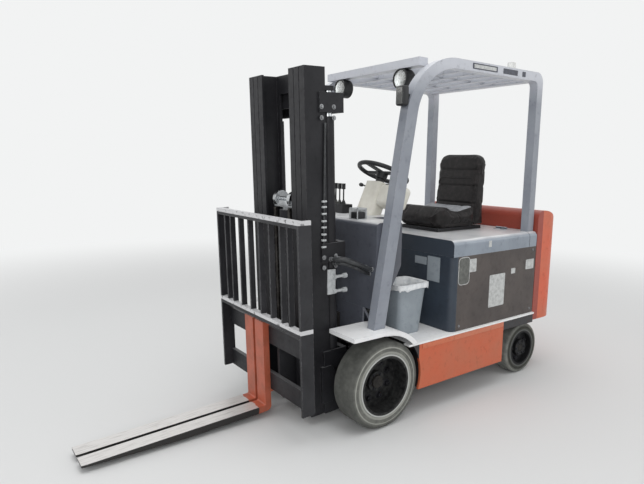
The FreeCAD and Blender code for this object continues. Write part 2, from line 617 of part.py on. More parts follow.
keep("drive_axle", union("DriveAxle", [
    rod("AxleTube", "X", ("frontAxleY", "driveTyreRadius"),
        ("-axleFlangeIn", "axleFlangeIn"), "axleTubeRadius"),
    rod("ReductionCase", "X", ("frontAxleY", "driveTyreRadius"),
        ("-reductionHalf", "reductionHalf"), "reductionRadius"),
    block("GearCase", ("-motorHalf - gearCaseWide", "-motorHalf"),
          ("frontAxleY", "frontAxleY + motorBehind"), ("motorZ - motorRadius", "motorZ + motorRadius")),
    rod("GearCaseEnd", "X", ("frontAxleY + motorBehind", "motorZ"),
        ("-motorHalf - gearCaseWide", "-motorHalf"), "motorRadius"),
    sided("AxleFlange", lambda name, sign: rod(
        name, "X", ("frontAxleY", "driveTyreRadius"),
        side(sign, "axleFlangeIn", "axleFlangeIn + axleFlange"), "axleFlangeRadius")),
    sided("DriveSpindle", lambda name, sign: rod(
        name, "X", ("frontAxleY", "driveTyreRadius"),
        side(sign, "axleFlangeIn", "driveSpindleEnd"), "spindleRadius")),
    sided("SpindleCap", lambda name, sign: rod(
        name, "X", ("frontAxleY", "driveTyreRadius"),
        side(sign, "driveSpindleEnd", "driveSpindleEnd + spindleCap"), "spindleRadius - capStep")),
]))
keep("drive_motor", rod(
    "DriveMotor", "X", ("frontAxleY + motorBehind", "motorZ"),
    ("-motorHalf", "motorHalf"), "motorRadius"))

# Chassis: side plates with the wheel arch, inner plates, cross plates and the battery pan


def side_plate(name, sign):
    corners = [
        ("frontAxleY + skirtRear", "skirtBottom"),
        ("frontAxleY + skirtRear", "panFloor"),
        ("frontAxleY + compartmentRear", "panFloor"),
        ("frontAxleY + compartmentRear", "sillTop - sillThick"),
        ("frontAxleY", "sillTop - sillThick"),
        ("frontAxleY", "skirtBottom"),
    ]
    span = side(sign, "bodyHalfWidth - sidePlate", "bodyHalfWidth")
    sheet_metal = plate(f"{name}Sheet", "YZ", span, corners)
    arch = rod(f"{name}Arch", "X", ("frontAxleY", "driveTyreRadius"),
               side(sign, "bodyHalfWidth - 2 * sidePlate", "bodyHalfWidth + sidePlate"),
               "archRadius")
    return cut(name, sheet_metal, [arch])


def inner_plate(name, sign):
    """A lengthwise plate over the drive axle that ends in the mast pivot's eye and pin."""
    span = side(sign, "innerPlateX", "innerPlateX + innerPlate")
    blank = plate(f"{name}Sheet", "YZ", span, [
        ("mastPivotY", "pivotZ - pivotEyeRadius"),
        ("frontAxleY + crossPlateBehind", "pivotZ - pivotEyeRadius"),
        ("frontAxleY + crossPlateBehind", "sillTop - floorPlate"),
        ("frontAxleY - frontPlateAhead", "sillTop - floorPlate"),
        ("mastPivotY", "pivotZ + pivotEyeRadius"),
    ])
    notch = rod(f"{name}Notch", "X", ("frontAxleY", "driveTyreRadius"), span, "axleTubeRadius")
    return union(name, [
        cut(f"{name}Plate", blank, [notch]),
        rod(f"{name}Eye", "X", ("mastPivotY", "pivotZ"), span, "pivotEyeRadius"),
        rod(f"{name}Pin", "X", ("mastPivotY", "pivotZ"),
            side(sign, "innerPlateX - pivotPinReach", "innerPlateX"), "pivotPinRadius"),
    ])


def tilt_bracket(name, sign):
    """Two ears on the cross plate that hold a tilt cylinder's rear pin."""
    ears = [block(f"{name}{spot}", side(sign, f"tiltX + ({low})", f"tiltX + ({low}) + tiltEar"),
                  ("frontAxleY + tiltRearY - tiltEye", "frontAxleY + crossPlateBehind"),
                  ("tiltRearZ - tiltEye", "tiltRearZ + tiltEye"))
            for spot, low in (("In", "-tiltBarrelRadius - 1 - tiltEar"),
                              ("Out", "tiltBarrelRadius + 1"))]
    pin = rod(f"{name}Pin", "X", ("frontAxleY + tiltRearY", "tiltRearZ"),
              side(sign, "tiltX - tiltBarrelRadius - 1", "tiltX + tiltBarrelRadius + 1"),
              "tiltPinRadius")
    return union(name, ears + [pin])


cross_span = ("-innerPlateX - innerPlate", "innerPlateX + innerPlate")
keep("chassis_frame", union("ChassisFrame", [
    sided("SidePlate", side_plate),
    sided("InnerPlate", inner_plate),
    sided("TiltBracket", tilt_bracket),
    cut("FrontPlate", block(
        "FrontPlateSheet", cross_span,
        ("frontAxleY - frontPlateAhead", "frontAxleY - frontPlateAhead + frontPlate"),
        ("frontPlateBottom", "sillTop - floorPlate")), [sided("TiltWindow", lambda name, sign: block(
            name, side(sign, "tiltX - tiltWindow", "tiltX + tiltWindow"),
            ("frontAxleY - frontPlateAhead", "frontAxleY - frontPlateAhead + frontPlate"),
            ("frontPlateBottom", "tiltWindowTop")))]),
    block("CrossPlate", ("-bodyHalfWidth + sidePlate", "bodyHalfWidth - sidePlate"),
          ("frontAxleY + crossPlateBehind", "frontAxleY + crossPlateBehind + panPlate"),
          ("skirtBottom", "sillTop - floorPlate")),
    block("BatteryPan", ("-bodyHalfWidth + sidePlate", "bodyHalfWidth - sidePlate"),
          ("frontAxleY + crossPlateBehind", "frontAxleY + compartmentRear"),
          ("panFloor", "panFloor + panPlate")),
]))
keep("sill_strips", sided("SillStrips", lambda name, sign: block(
    name, side(sign, "panelHalfWidth - sillIn", "bodyHalfWidth + sillOverhang"),
    ("frontAxleY + floorFront", "frontAxleY + compartmentRear"),
    ("sillTop - sillThick", "sillTop"))))
keep("floor_plate", cut("FloorPlate", block(
    "FloorSheet", ("-panelHalfWidth + sillIn", "panelHalfWidth - sillIn"),
    ("frontAxleY - frontPlateAhead", "frontAxleY + compartmentFront"),
    ("sillTop - floorPlate", "sillTop")), [sided("FloorWell", lambda name, sign: block(
        name, side(sign, "fenderInner + fenderSheet", "bodyHalfWidth"),
        ("frontAxleY - frontPlateAhead - frontPlate", "frontAxleY + floorWell"),
        ("sillTop - 2 * floorPlate", "sillTop + floorPlate")))]))


def fender(name, sign):
    span = side(sign, "fenderInner", "driveTyreOuterX")
    inner = side(sign, "fenderInner + fenderSheet", "driveTyreOuterX - fenderSheet")
    outer_skin = union(f"{name}Outer", [
        rod(f"{name}Round", "X", ("frontAxleY", "driveTyreRadius"), span, "fenderOuter"),
        block(f"{name}Flat", span, ("frontAxleY - fenderFront", "frontAxleY"),
              ("fenderTop - fenderRim", "fenderTop")),
    ])
    bounds = union(f"{name}Bounds", [
        block(f"{name}Ahead", span, ("frontAxleY - fenderFront", "frontAxleY"),
              ("fenderTop - fenderRim", "fenderTop")),
        block(f"{name}Behind", span, ("frontAxleY", "frontAxleY + archRadius"),
              ("sillTop", "fenderTop"))])
    shell = common(f"{name}Shell", outer_skin, bounds)
    hollow = union(f"{name}Hollow", [
        rod(f"{name}Well", "X", ("frontAxleY", "driveTyreRadius"),
            side(sign, "fenderInner + fenderSheet", "driveTyreOuterX + sidePlate"), "archRadius"),
        rod(f"{name}Under", "X", ("frontAxleY", "driveTyreRadius"), inner,
            "fenderOuter - fenderSheet"),
        block(f"{name}Below", inner, ("frontAxleY - fenderFront + fenderSheet", "frontAxleY"),
              ("fenderTop - 2 * fenderRim", "fenderTop - fenderSheet")),
    ])
    return cut(name, shell, [hollow])


keep("front_fenders", sided("FrontFenders", fender))

# Battery compartment: front wall with rounded corners, side panels, battery block, rear deck

keep("bulkhead", plate("Bulkhead", "XY", ("sillTop", "panelTop"), [
    ("-panelHalfWidth", "frontAxleY + compartmentFront", "bulkheadCorner"),
    ("panelHalfWidth", "frontAxleY + compartmentFront", "bulkheadCorner"),
    ("panelHalfWidth", "frontAxleY + compartmentFront + bulkheadWing"),
    ("panelHalfWidth - panelThick", "frontAxleY + compartmentFront + bulkheadWing"),
    ("panelHalfWidth - panelThick", "frontAxleY + compartmentFront + bulkheadThick",
     "bulkheadCorner - panelThick"),
    ("-panelHalfWidth + panelThick", "frontAxleY + compartmentFront + bulkheadThick",
     "bulkheadCorner - panelThick"),
    ("-panelHalfWidth + panelThick", "frontAxleY + compartmentFront + bulkheadWing"),
    ("-panelHalfWidth", "frontAxleY + compartmentFront + bulkheadWing"),
]))
keep("battery_side_panels", sided("BatteryPanels", lambda name, sign: block(
    name, side(sign, "panelHalfWidth - panelThick", "panelHalfWidth"),
    ("frontAxleY + compartmentFront + bulkheadWing", "frontAxleY + compartmentRear"),
    ("sillTop", "panelTop"))))
keep("battery", block(
    "Battery", ("-batteryWidth / 2", "batteryWidth / 2"),
    ("frontAxleY + compartmentRear - batteryBehind - batteryLength",
     "frontAxleY + compartmentRear - batteryBehind"),
    ("panFloor + panPlate", "panFloor + panPlate + batteryHeight")))


def crowned(name, half_width, low, high, edge, y_low, y_high):
    """A cover's cross-section with rounded top edges, run along the truck."""
    return plate(name, "XZ", (y_low, y_high), [
        (f"-({half_width})", low), (half_width, low),
        (half_width, high, edge), (f"-({half_width})", high, edge),
    ])


def cover(name, y_low, y_high, closed_rear):
    """A hollow cover with a front wall and, on the deck, a rear wall."""
    outer = crowned(f"{name}Outer", "panelHalfWidth", "panelTop", "hoodTop", "hoodEdge",
                    y_low, y_high)
    inner_low = f"{y_low} + hoodSheet"
    inner = crowned(f"{name}Inner", "panelHalfWidth - hoodSheet", "panelTop - hoodSheet",
                    "hoodTop - hoodSheet", "hoodEdge - hoodSheet", inner_low,
                    f"{y_high} - hoodSheet" if closed_rear else y_high)
    return cut(name, outer, [inner])


def hinge(name, sign, leaf, knuckles):
    """One side of a hood hinge: a leaf and a knuckle over each of the given shares of its width."""
    pieces = []
    for index, (start, end) in enumerate(knuckles):
        span = (f"{sign} * hingeX - hingeWide / 2 + hingeWide * {start} + hingeClear",
                f"{sign} * hingeX - hingeWide / 2 + hingeWide * {end} - hingeClear")
        pieces.append(block(f"{name}Leaf{index}", span, leaf, ("hoodTop", "hoodTop + hingeSheet")))
        pieces.append(rod(
            f"{name}Knuckle{index}", "X",
            ("frontAxleY + deckFront + hoodGap / 2", "hoodTop + hingeRadius + hingeClear"),
            span, "hingeRadius"))
    return union(name, pieces)


keep("rear_deck", union("RearDeckHinged", [
    cover("RearDeck", "frontAxleY + deckFront + hoodGap", "frontAxleY + compartmentRear", True),
    sided("DeckHinge", lambda name, sign: hinge(
        name, sign, ("frontAxleY + deckFront + hoodGap",
                     "frontAxleY + deckFront + hoodGap + hingeLeaf"), [("1 / 3", "2 / 3")])),
]))
keep("hood", union("HoodHinged", [
    cover("Hood", "frontAxleY + compartmentFront", "frontAxleY + deckFront", False),
    sided("HoodHinge", lambda name, sign: hinge(
        name, sign, ("frontAxleY + deckFront - hingeLeaf", "frontAxleY + deckFront"),
        [("0", "1 / 3"), ("2 / 3", "1")])),
]))

# Counterweight: one casting, rounded at the rear corners and along the top

weight_plan = plate("WeightPlan", "XY", ("weightKeelBottom", "weightTop"), [
    ("-panelHalfWidth", "frontAxleY + compartmentRear + weightGap"),
    ("panelHalfWidth", "frontAxleY + compartmentRear + weightGap"),
    ("panelHalfWidth", "frontAxleY + weightRear", "weightCorner"),
    ("-panelHalfWidth", "frontAxleY + weightRear", "weightCorner"),
])
weight_side = plate("WeightSide", "YZ", ("-panelHalfWidth", "panelHalfWidth"), [
    ("frontAxleY + compartmentRear + weightGap", "weightBottom"),
    ("frontAxleY + weightKeelFront", "weightBottom"),
    ("frontAxleY + weightKeelFront", "weightKeelBottom"),
    ("frontAxleY + weightRear", "weightKeelBottom"),
    ("frontAxleY + weightRear", "weightTop", "weightRound"),
    ("frontAxleY + compartmentRear + weightGap", "weightTop", "weightFrontRound"),
])
keel_sides = sided("KeelSide", lambda name, sign: block(
    name, side(sign, "weightKeelHalf", "bodyHalfWidth"),
    ("frontAxleY + weightKeelFront", "frontAxleY + weightRear"),
    ("weightKeelBottom", "weightBottom")))
tow_slot = block("TowSlot", ("-towSlotHalf", "towSlotHalf"),
                 ("frontAxleY + weightRear - towSlotDeep", "frontAxleY + weightRear"),
                 ("towSlotBottom", "towSlotBottom + towSlotHeight"))
tow_bore = rod("TowBore", "Z", ("0", "frontAxleY + weightRear - towPinIn"),
               ("towSlotBottom - towPinReach", "towSlotBottom + towSlotHeight + towPinReach"),
               "towPinRadius + towPinFit")
keep("counterweight", cut("Counterweight", common("WeightBlank", weight_plan, weight_side),
                          [keel_sides, tow_slot, tow_bore]))
keep("tow_pin", union("TowPin", [
    rod("TowPinShaft", "Z", ("0", "frontAxleY + weightRear - towPinIn"),
        ("towSlotBottom - towPinReach", "towSlotBottom + towSlotHeight + towPinReach"),
        "towPinRadius"),
    rod("TowPinCollar", "Z", ("0", "frontAxleY + weightRear - towPinIn"),
        ("towSlotBottom + towPinFit", "towSlotBottom + towPinFit + towPinRadius"),
        "towCollar"),
]))

# Overhead guard: two bent side frames joined by a front beam and roof bars


def guard_side(name, sign):
    lean = "tan(guardLean)"
    front_low = "frontAxleY + guardFootY - guardDepth / 2 / cos(guardLean)"
    back_low = "frontAxleY + guardFootY + guardDepth / 2 / cos(guardLean)"
    rear = "frontAxleY + guardRearY"
    span = side(sign, "guardHalfWidth - guardTube", "guardHalfWidth")
    return plate(name, "YZ", span, [
        (front_low, "fenderTop"),
        (f"{front_low} + (guardTop - fenderTop) * {lean}", "guardTop", "guardFrontBend"),
        (f"{rear} + guardRearDepth / 2", "guardTop", "guardRearBend"),
        (f"{rear} + guardRearDepth / 2", "hoodTop"),
        (f"{rear} - guardRearDepth / 2", "hoodTop"),
        (f"{rear} - guardRearDepth / 2", "guardTop - guardRail",
         "guardRearBend - guardRearDepth / 2"),
        (f"{back_low} + (guardTop - guardRail - fenderTop) * {lean}", "guardTop - guardRail",
         "guardFrontBend - guardDepth"),
        (back_low, "fenderTop"),
    ])


keep("guard_frames", sided("GuardFrames", guard_side))
roof_inner = ("-guardHalfWidth + guardTube", "guardHalfWidth - guardTube")
roof_bars = [block(f"RoofBar{index}", roof_inner,
                   (f"frontAxleY + roofBarFirst + {index} * roofBarPitch",
                    f"frontAxleY + roofBarFirst + {index} * roofBarPitch + roofBar"),
                   ("guardTop - guardRail", "guardTop - roofBarDrop"))
             for index in range(int(number("roofBarCount")))]
roof_beams = [block(f"RoofBeam{spot}", roof_inner, (f"frontAxleY + {low}", f"frontAxleY + {high}"),
                    ("guardTop - guardRail", "guardTop - roofBarDrop"))
              for spot, low, high in (
                  ("Front", "roofBeamFront", "roofBeamFront + roofBeam"),
                  ("Rear", "guardRearY - roofBeam", "guardRearY"))]
roof_ribs = sided("RoofRib", lambda name, sign: block(
    name, side(sign, "roofRibX", "roofRibX + roofBar"),
    ("frontAxleY + roofBeamFront", "frontAxleY + guardRearY"),
    ("guardTop - guardRail + roofBarDrop", "guardTop - roofBarDrop - roofBarDrop")))
keep("guard_roof", union("GuardRoof", roof_bars + roof_beams + [roof_ribs]))

# Steering gear at the rear: beam with mounts, knuckles on kingpins, cylinder and its rod

steer_mid = ("steerAxleY", "steerTyreRadius")
steer_cylinder = ("steerAxleY + steerArm", "steerTyreRadius")


def steer_ears(spot, low):
    """The ears over or under both knuckles."""
    return sided(f"SteerEar{spot}", lambda name, sign: block(
        name, side(sign, "kingpinX - steerArm - 3 * steerArmHalf", "kingpinX + steerEarHalf"),
        ("steerAxleY - steerEarHalf", "steerAxleY + steerEarHalf"), (low, f"{low} + steerEar")))


keep("steer_axle", cut("SteerAxle", union("SteerAxleBlank", [
    block("SteerBeam", ("-kingpinX + steerArm + 2 * steerArmHalf",
                        "kingpinX - steerArm - 2 * steerArmHalf"),
          ("steerAxleY - steerBeamHalf", "steerAxleY + steerBeamHalf"),
          ("steerTyreRadius - steerBeamTall", "steerTyreRadius + steerBeamTall")),
    steer_ears("Top", "steerTyreRadius + knuckleTall + steerEarGap"),
    steer_ears("Low", "steerTyreRadius - knuckleTall - steerEarGap - steerEar"),
    sided("Kingpin", lambda name, sign: rod(
        name, "Z", (f"{sign} * kingpinX", "steerAxleY"),
        ("steerTyreRadius - kingpinHalf", "steerTyreRadius + kingpinHalf"), "kingpinRadius")),
    rod("SteerTrunnion", "Y", ("0", "steerTyreRadius"),
        ("steerAxleY - steerMountHalf", "steerAxleY + steerMountHalf"), "steerTrunnion"),
    rod("SteerBarrel", "X", steer_cylinder, ("-steerBarrelHalf", "steerBarrelHalf"),
        "steerBarrelRadius"),
]), [rod("SteerRodBore", "X", steer_cylinder, ("-steerBarrelHalf", "steerBarrelHalf"),
         "steerRodRadius + runningFit")]))
keep("steer_mounts", union("SteerMounts", [
    cut(f"SteerMount{spot}",
        block(f"SteerMountPlate{spot}", ("-steerMountHalf / 2", "steerMountHalf / 2"),
              (low, high), ("steerTyreRadius - 2 * steerTrunnion", top)),
        [rod(f"SteerMountBore{spot}", "Y", ("0", "steerTyreRadius"),
             (low, high), "steerTrunnion + runningFit")])
    for spot, low, high, top in (
        ("Front", "steerAxleY - steerMountHalf", "steerAxleY - steerMountHalf + steerMount",
         "panFloor"),
        ("Rear", "steerAxleY + steerMountHalf - steerMount", "steerAxleY + steerMountHalf",
         "weightBottom"))
]))


def knuckle(name, sign):
    return cut(name, union(f"{name}Blank", [
        rod(f"{name}Post", "Z", (f"{sign} * kingpinX", "steerAxleY"),
            ("steerTyreRadius - knuckleTall", "steerTyreRadius + knuckleTall"), "knuckleHalf"),
        rod(f"{name}Spindle", "X", steer_mid,
            side(sign, "kingpinX + kingpinRadius", "steerTyreOuterX - steerSpindleIn"),
            "steerSpindle"),
        rod(f"{name}Cap", "X", steer_mid,
            side(sign, "steerTyreOuterX - steerSpindleIn",
                 "steerTyreOuterX - steerSpindleIn + steerEar / 2"), "steerSpindle - capStep"),
        block(f"{name}Arm", side(sign, "kingpinX - steerArmHalf", "kingpinX + steerArmHalf"),
              ("steerAxleY + kingpinRadius", "steerAxleY + steerArm + steerArmHalf"),
              ("steerTyreRadius + steerArmLift",
               "steerTyreRadius + steerArmLift + steerArmPlate")),
        rod(f"{name}Boss", "Z", (f"{sign} * kingpinX", "steerAxleY + steerArm"),
            ("steerTyreRadius + steerRodEye + armSeat", "steerTyreRadius + steerArmLift + 1"),
            "steerRodRadius - 1"),
    ]), [rod(f"{name}Bore", "Z", (f"{sign} * kingpinX", "steerAxleY"),
             ("steerTyreRadius - kingpinHalf", "steerTyreRadius + kingpinHalf"),
             "kingpinRadius + runningFit")])


for hand, sign in hands:
    keep(f"steer_knuckle_{hand.lower()}", knuckle(f"Knuckle{hand}", sign))
keep("steer_rod", union("SteerRod", [
    rod("SteerRodBar", "X", steer_cylinder, ("-kingpinX", "kingpinX"), "steerRodRadius"),
    sided("SteerRodEye", lambda name, sign: rod(
        name, "Z", (f"{sign} * kingpinX", "steerAxleY + steerArm"),
        ("steerTyreRadius - steerRodEye", "steerTyreRadius + steerRodEye"),
        "steerRodRadius + 1")),
]))

# Driver's place: cowl, toe plate, footwell box, steering column and wheel, levers and pedals


def cowl_half(name, front, rear, inset):
    """The cowl's outline in side view, drawn in by inset on every face."""
    return plate(name, "YZ", (f"-cowlHalfWidth + {inset}", f"cowlHalfWidth - {inset}"), [
        (f"{front} + {inset}", "cowlBottom"), (f"{front} + cowlLip", "cowlBottom"),
        (f"{rear} - {inset}", "cowlKneeZ"),
        (f"{rear} - {inset}", f"cowlTop - {inset}", "cowlRound"),
        (f"{front} + {inset}", f"cowlTop - {inset}", "cowlRound"),
    ])


keep("cowl", union("Cowl", [
    cut("CowlShell", cowl_half("CowlOuter", "frontAxleY + cowlFront",
                               "frontAxleY + cowlRear", "0"),
        [block("CowlHollow", ("-cowlHalfWidth + cowlWall", "cowlHalfWidth - cowlWall"),
               ("frontAxleY + cowlFront + cowlWall", "frontAxleY + cowlRear"),
               ("cowlBottom", "cowlTop - cowlWall"))]),
    plate("Console", "YZ", ("-consoleRight", "consoleLeft"), [
        ("frontAxleY + cowlFront + cowlWall", "consoleBottom"),
        ("frontAxleY + cowlRear", "consoleBottom"),
        ("frontAxleY + consoleRear", "cowlTop - consoleFace", "cowlRound"),
        ("frontAxleY + consoleRear", "cowlTop", "cowlRound / 2"),
        ("frontAxleY + cowlFront + cowlWall", "cowlTop"),
    ]),
]))
keep("toe_plate", plate("ToePlate", "YZ", ("-fenderInner", "fenderInner"), [
    ("frontAxleY + cowlFront", "sillTop"),
    ("frontAxleY + cowlFront + floorPlate", "sillTop"),
    ("frontAxleY + cowlFront + floorPlate", "cowlBottom - 2 * floorPlate"),
    ("frontAxleY + toeRear - 2 * floorPlate", "sillTop"),
    ("frontAxleY + toeRear", "sillTop"),
    ("frontAxleY + toeRear", "sillTop + floorPlate"),
    ("frontAxleY + cowlFront + floorPlate", "cowlBottom"),
    ("frontAxleY + cowlFront", "cowlBottom"),
]))


def tapered_box(name, wall, low, high):
    """A box that widens to its rim, as a loft between two rectangles."""
    middle_x, middle_y = "(binBottomX + binWide / 2)", "(frontAxleY + binFront + binLong / 2)"
    body = doc.addObject("PartDesign::Body", name)
    sketches = []
    for end, height, flare in (("Low", low, "0"), ("High", high, "binFlare")):
        sketch = drawing(body, f"{name}{end}", "XY", height)
        half_x = f"(binWide / 2 + {flare} - {wall})"
        half_y = f"(binLong / 2 + {flare} - {wall})"
        outline(sketch, [
            (f"{middle_x} - {half_x}", f"{middle_y} - {half_y}", "binCorner"),
            (f"{middle_x} + {half_x}", f"{middle_y} - {half_y}", "binCorner"),
            (f"{middle_x} + {half_x}", f"{middle_y} + {half_y}", "binCorner"),
            (f"{middle_x} - {half_x}", f"{middle_y} + {half_y}", "binCorner"),
        ])
        sketches.append(sketch)
    loft = body.newObject("PartDesign::AdditiveLoft", f"{name}Loft")
    loft.Profile = sketches[0]
    loft.Sections = [sketches[1]]
    loft.Ruled = True
    return body


keep("footwell_box", cut("FootwellBox", union("FootwellBlank", [
    tapered_box("FootwellOuter", "0", "sillTop", "sillTop + binTall"),
    plate("FootwellRim", "XY", ("sillTop + binTall - binRim * 2", "sillTop + binTall"), [
        ("binBottomX - binFlare - binRim", "frontAxleY + binFront - binFlare - binRim",
         "binCorner + binRim"),
        ("binBottomX + binWide + binFlare + binRim",
         "frontAxleY + binFront - binFlare - binRim", "binCorner + binRim"),
        ("binBottomX + binWide + binFlare + binRim",
         "frontAxleY + binFront + binLong + binFlare + binRim", "binCorner + binRim"),
        ("binBottomX - binFlare - binRim",
         "frontAxleY + binFront + binLong + binFlare + binRim", "binCorner + binRim"),
    ])]), [tapered_box("FootwellInner", "binWall", "sillTop + binWall", "sillTop + binTall")]))

# The steering column stands on the floor and leans back to the wheel; its pieces are drawn along
# the column's own axis and turned about the middle of the steering wheel
columnPose = FreeCAD.Placement(
    FreeCAD.Vector(0, number("frontAxleY + columnTopY"), number("columnTopZ")),
    FreeCAD.Rotation(FreeCAD.Vector(1, 0, 0), -number("columnLean")),
)
column = union("ColumnBlank", [
    rod("ColumnTube", "Z", ("0", "0"), ("-columnLength", "-wheelHubDrop - hubGap"), "columnRadius"),
    rod("ColumnShaft", "Z", ("0", "0"), ("-wheelHubDrop - hubGap", "-hubCover"), "columnShaft"),
])
column.Placement = columnPose
cover = cut("ColumnCoverBlank", plate(
    "ColumnCoverShell", "XY", ("-columnLength", "-coverDrop"),
    [(f"{across} * coverHalfWidth", f"{along} * coverHalfDepth", "coverRound")
     for across, along in ((-1, -1), (1, -1), (1, 1), (-1, 1))]),
    [rod("ColumnCoverBore", "Z", ("0", "0"), ("-columnLength", "-coverDrop"),
         "columnRadius + runningFit")])
cover.Placement = columnPose
for name, blank in (("steering_column", column), ("column_cover", cover)):
    keep(name, cut(name.title().replace("_", ""), blank, [block(
        "Foot" + name, ("-cowlHalfWidth", "cowlHalfWidth"),
        ("frontAxleY", "frontAxleY + compartmentFront"), ("cowlBottom", "cowlTop"))]))
ring = doc.addObject("Part::Torus", "WheelRing")
bind(ring, "Radius1", "wheelRingRadius")
bind(ring, "Radius2", "wheelRingTube")
keep("steering_wheel", cut("SteeringWheel", union("SteeringWheelBlank", [
    ring,
    rod("WheelHub", "Z", ("0", "0"), ("-wheelHubDrop", "0"), "wheelHubRadius"),
    block("WheelSpokeAcross", ("-wheelRingRadius", "wheelRingRadius"),
          ("-wheelSpoke / 2", "wheelSpoke / 2"), ("-wheelSpoke / 4", "wheelSpoke / 4")),
    block("WheelSpokeBack", ("-wheelSpoke / 2", "wheelSpoke / 2"), ("-wheelRingRadius", "0"),
          ("-wheelSpoke / 4", "wheelSpoke / 4")),
]), [rod("WheelBore", "Z", ("0", "0"), ("-wheelHubDrop", "-hubCover"), "columnShaft + runningFit")]),
     columnPose)

lever_places = [f"leverX + {index} * leverPitch" for index in range(int(number("leverCount")))]
keep("lever_console", union("LeverConsole", [block(
    "ConsoleBox", ("leverX - leverPitch", "leverX + leverCount * leverPitch"),
    ("frontAxleY + leverBackY - leverPitch", "frontAxleY + leverBackY + leverPitch"),
    ("cowlTop", "cowlTop + leverConsole"))] + [
        rod(f"Lever{index}", "Z", (place, "frontAxleY + leverBackY"),
            ("cowlTop + leverConsole", "cowlTop + leverConsole + leverTall"), "leverRod")
        for index, place in enumerate(lever_places)] + [
        rod(f"LeverKnob{index}", "Z", (place, "frontAxleY + leverBackY"),
            ("cowlTop + leverConsole + leverTall - 2 * leverKnob",
             "cowlTop + leverConsole + leverTall + leverKnob"), "leverKnob")
        for index, place in enumerate(lever_places)]))
keep("pedals", union("Pedals", [
    union(f"Pedal{spot}", [
        block(f"PedalPad{spot}", (f"{middle} - pedalWide / 2", f"{middle} + pedalWide / 2"),
              ("frontAxleY + pedalY", "frontAxleY + pedalY + pedalLong"),
              ("sillTop + pedalWide", "sillTop + pedalWide + pedalThick")),
        block(f"PedalArm{spot}", (f"{middle} - pedalThick", f"{middle} + pedalThick"),
              ("frontAxleY + pedalY + pedalThick", "frontAxleY + pedalY + 3 * pedalThick"),
              ("sillTop", "sillTop + pedalWide")),
    ]) for spot, middle in (("Brake", "brakePedalX"), ("Drive", "drivePedalX"))]))


def lamp(name, sign):
    return rod(name, "Y", (f"{sign} * lampX", "guardTop - guardRail - lampRadius"),
               ("frontAxleY + roofBeamFront", "frontAxleY + roofBeamFront + lampDepth"),
               "lampRadius")


keep("work_lamps", sided("WorkLamps", lamp))
keep("warning_lamp", rod(
    "WarningLamp", "Z", ("guardHalfWidth - guardTube / 2", "frontAxleY + beaconY"),
    ("guardTop", "guardTop + beaconTall"), "beaconRadius"))
keep("valve_bank", block(
    "ValveBank", ("-valveHalf", "valveHalf"),
    ("frontAxleY + cowlFront - valveDeep", "frontAxleY + cowlFront"),
    ("sillTop", "sillTop + valveTall")))

# Seat on the hood
keep("seat_base", block(
    "SeatBase", ("-seatWidth / 2 + seatBaseIn", "seatWidth / 2 - seatBaseIn"),
    ("frontAxleY + compartmentFront + seatBaseSetback",
     "frontAxleY + seatFront + seatDepth + seatBackThick"),
    ("hoodTop", "hoodTop + seatBaseHeight")))
seat_low = "hoodTop + seatBaseHeight"
cushion_rear = "frontAxleY + seatFront + seatDepth"
keep("seat_cushion", common(
    "SeatCushion", plate("CushionSide", "YZ", ("-seatWidth / 2", "seatWidth / 2"), [
        ("frontAxleY + seatFront", seat_low, "seatRound"), (cushion_rear, seat_low),
        (cushion_rear, f"{seat_low} + seatThick"),
        ("frontAxleY + seatFront", f"{seat_low} + seatThick", "seatNose"),
    ]), plate("CushionPlan", "XY", (seat_low, f"{seat_low} + seatThick"), [
        ("-seatWidth / 2", "frontAxleY + seatFront", "seatCorner"),
        ("seatWidth / 2", "frontAxleY + seatFront", "seatCorner"),
        ("seatWidth / 2", cushion_rear), ("-seatWidth / 2", cushion_rear),
    ])))
keep("seat_back", common(
    "SeatBack", plate("BackSide", "YZ", ("-seatWidth / 2", "seatWidth / 2"), [
        (f"{cushion_rear} + softGap", seat_low), (f"{cushion_rear} + seatBackThick", seat_low),
        (f"{cushion_rear} + seatBackThick + seatBackLean", f"{seat_low} + seatBackTall", "seatRound"),
        (f"{cushion_rear} + seatBackLean + seatBackTaper", f"{seat_low} + seatBackTall", "seatRound"),
    ]), plate("BackFace", "XZ", (cushion_rear, f"{cushion_rear} + seatBackThick + seatBackLean"), [
        ("-seatWidth / 2 + seatBackIn", seat_low), ("seatWidth / 2 - seatBackIn", seat_low),
        ("seatWidth / 2 - seatBackIn", f"{seat_low} + seatBackTall", "seatCorner"),
        ("-seatWidth / 2 + seatBackIn", f"{seat_low} + seatBackTall", "seatCorner"),
    ])))

# Mast: three nested pairs of rails, the outer pair hinged to the frame


def channel(name, sign, outer_x, low, high):
    """A rail open towards the middle of the truck."""
    x_out = outer_x
    x_in = f"{outer_x} - railFlange"
    x_web = f"{outer_x} - railWeb"
    flip = [(x_out, "railFrontY"), (x_out, "railRearY"), (x_in, "railRearY"),
            (x_in, "railRearY - railLip"), (x_web, "railRearY - railLip"),
            (x_web, "railFrontY + railLip"), (x_in, "railFrontY + railLip"),
            (x_in, "railFrontY")]
    return plate(name, "XY", (low, high), [(f"{sign} * ({x})", y) for x, y in flip])


def beam(name, sign, outer_x, low, high):
    """A rail with flanges on both sides of its web."""
    x_out = outer_x
    x_in = f"{outer_x} - railFlange"
    web_out = f"{outer_x} - (railFlange - railWeb) / 2"
    web_in = f"{outer_x} - (railFlange + railWeb) / 2"
    front, rear = "railFrontY + railLip", "railRearY - railLip"
    corners = [(x_out, "railFrontY"), (x_out, front), (web_out, front), (web_out, rear),
               (x_out, rear), (x_out, "railRearY"), (x_in, "railRearY"), (x_in, rear),
               (web_in, rear), (web_in, front), (x_in, front), (x_in, "railFrontY")]
    return plate(name, "XY", (low, high), [(f"{sign} * ({x})", y) for x, y in corners])


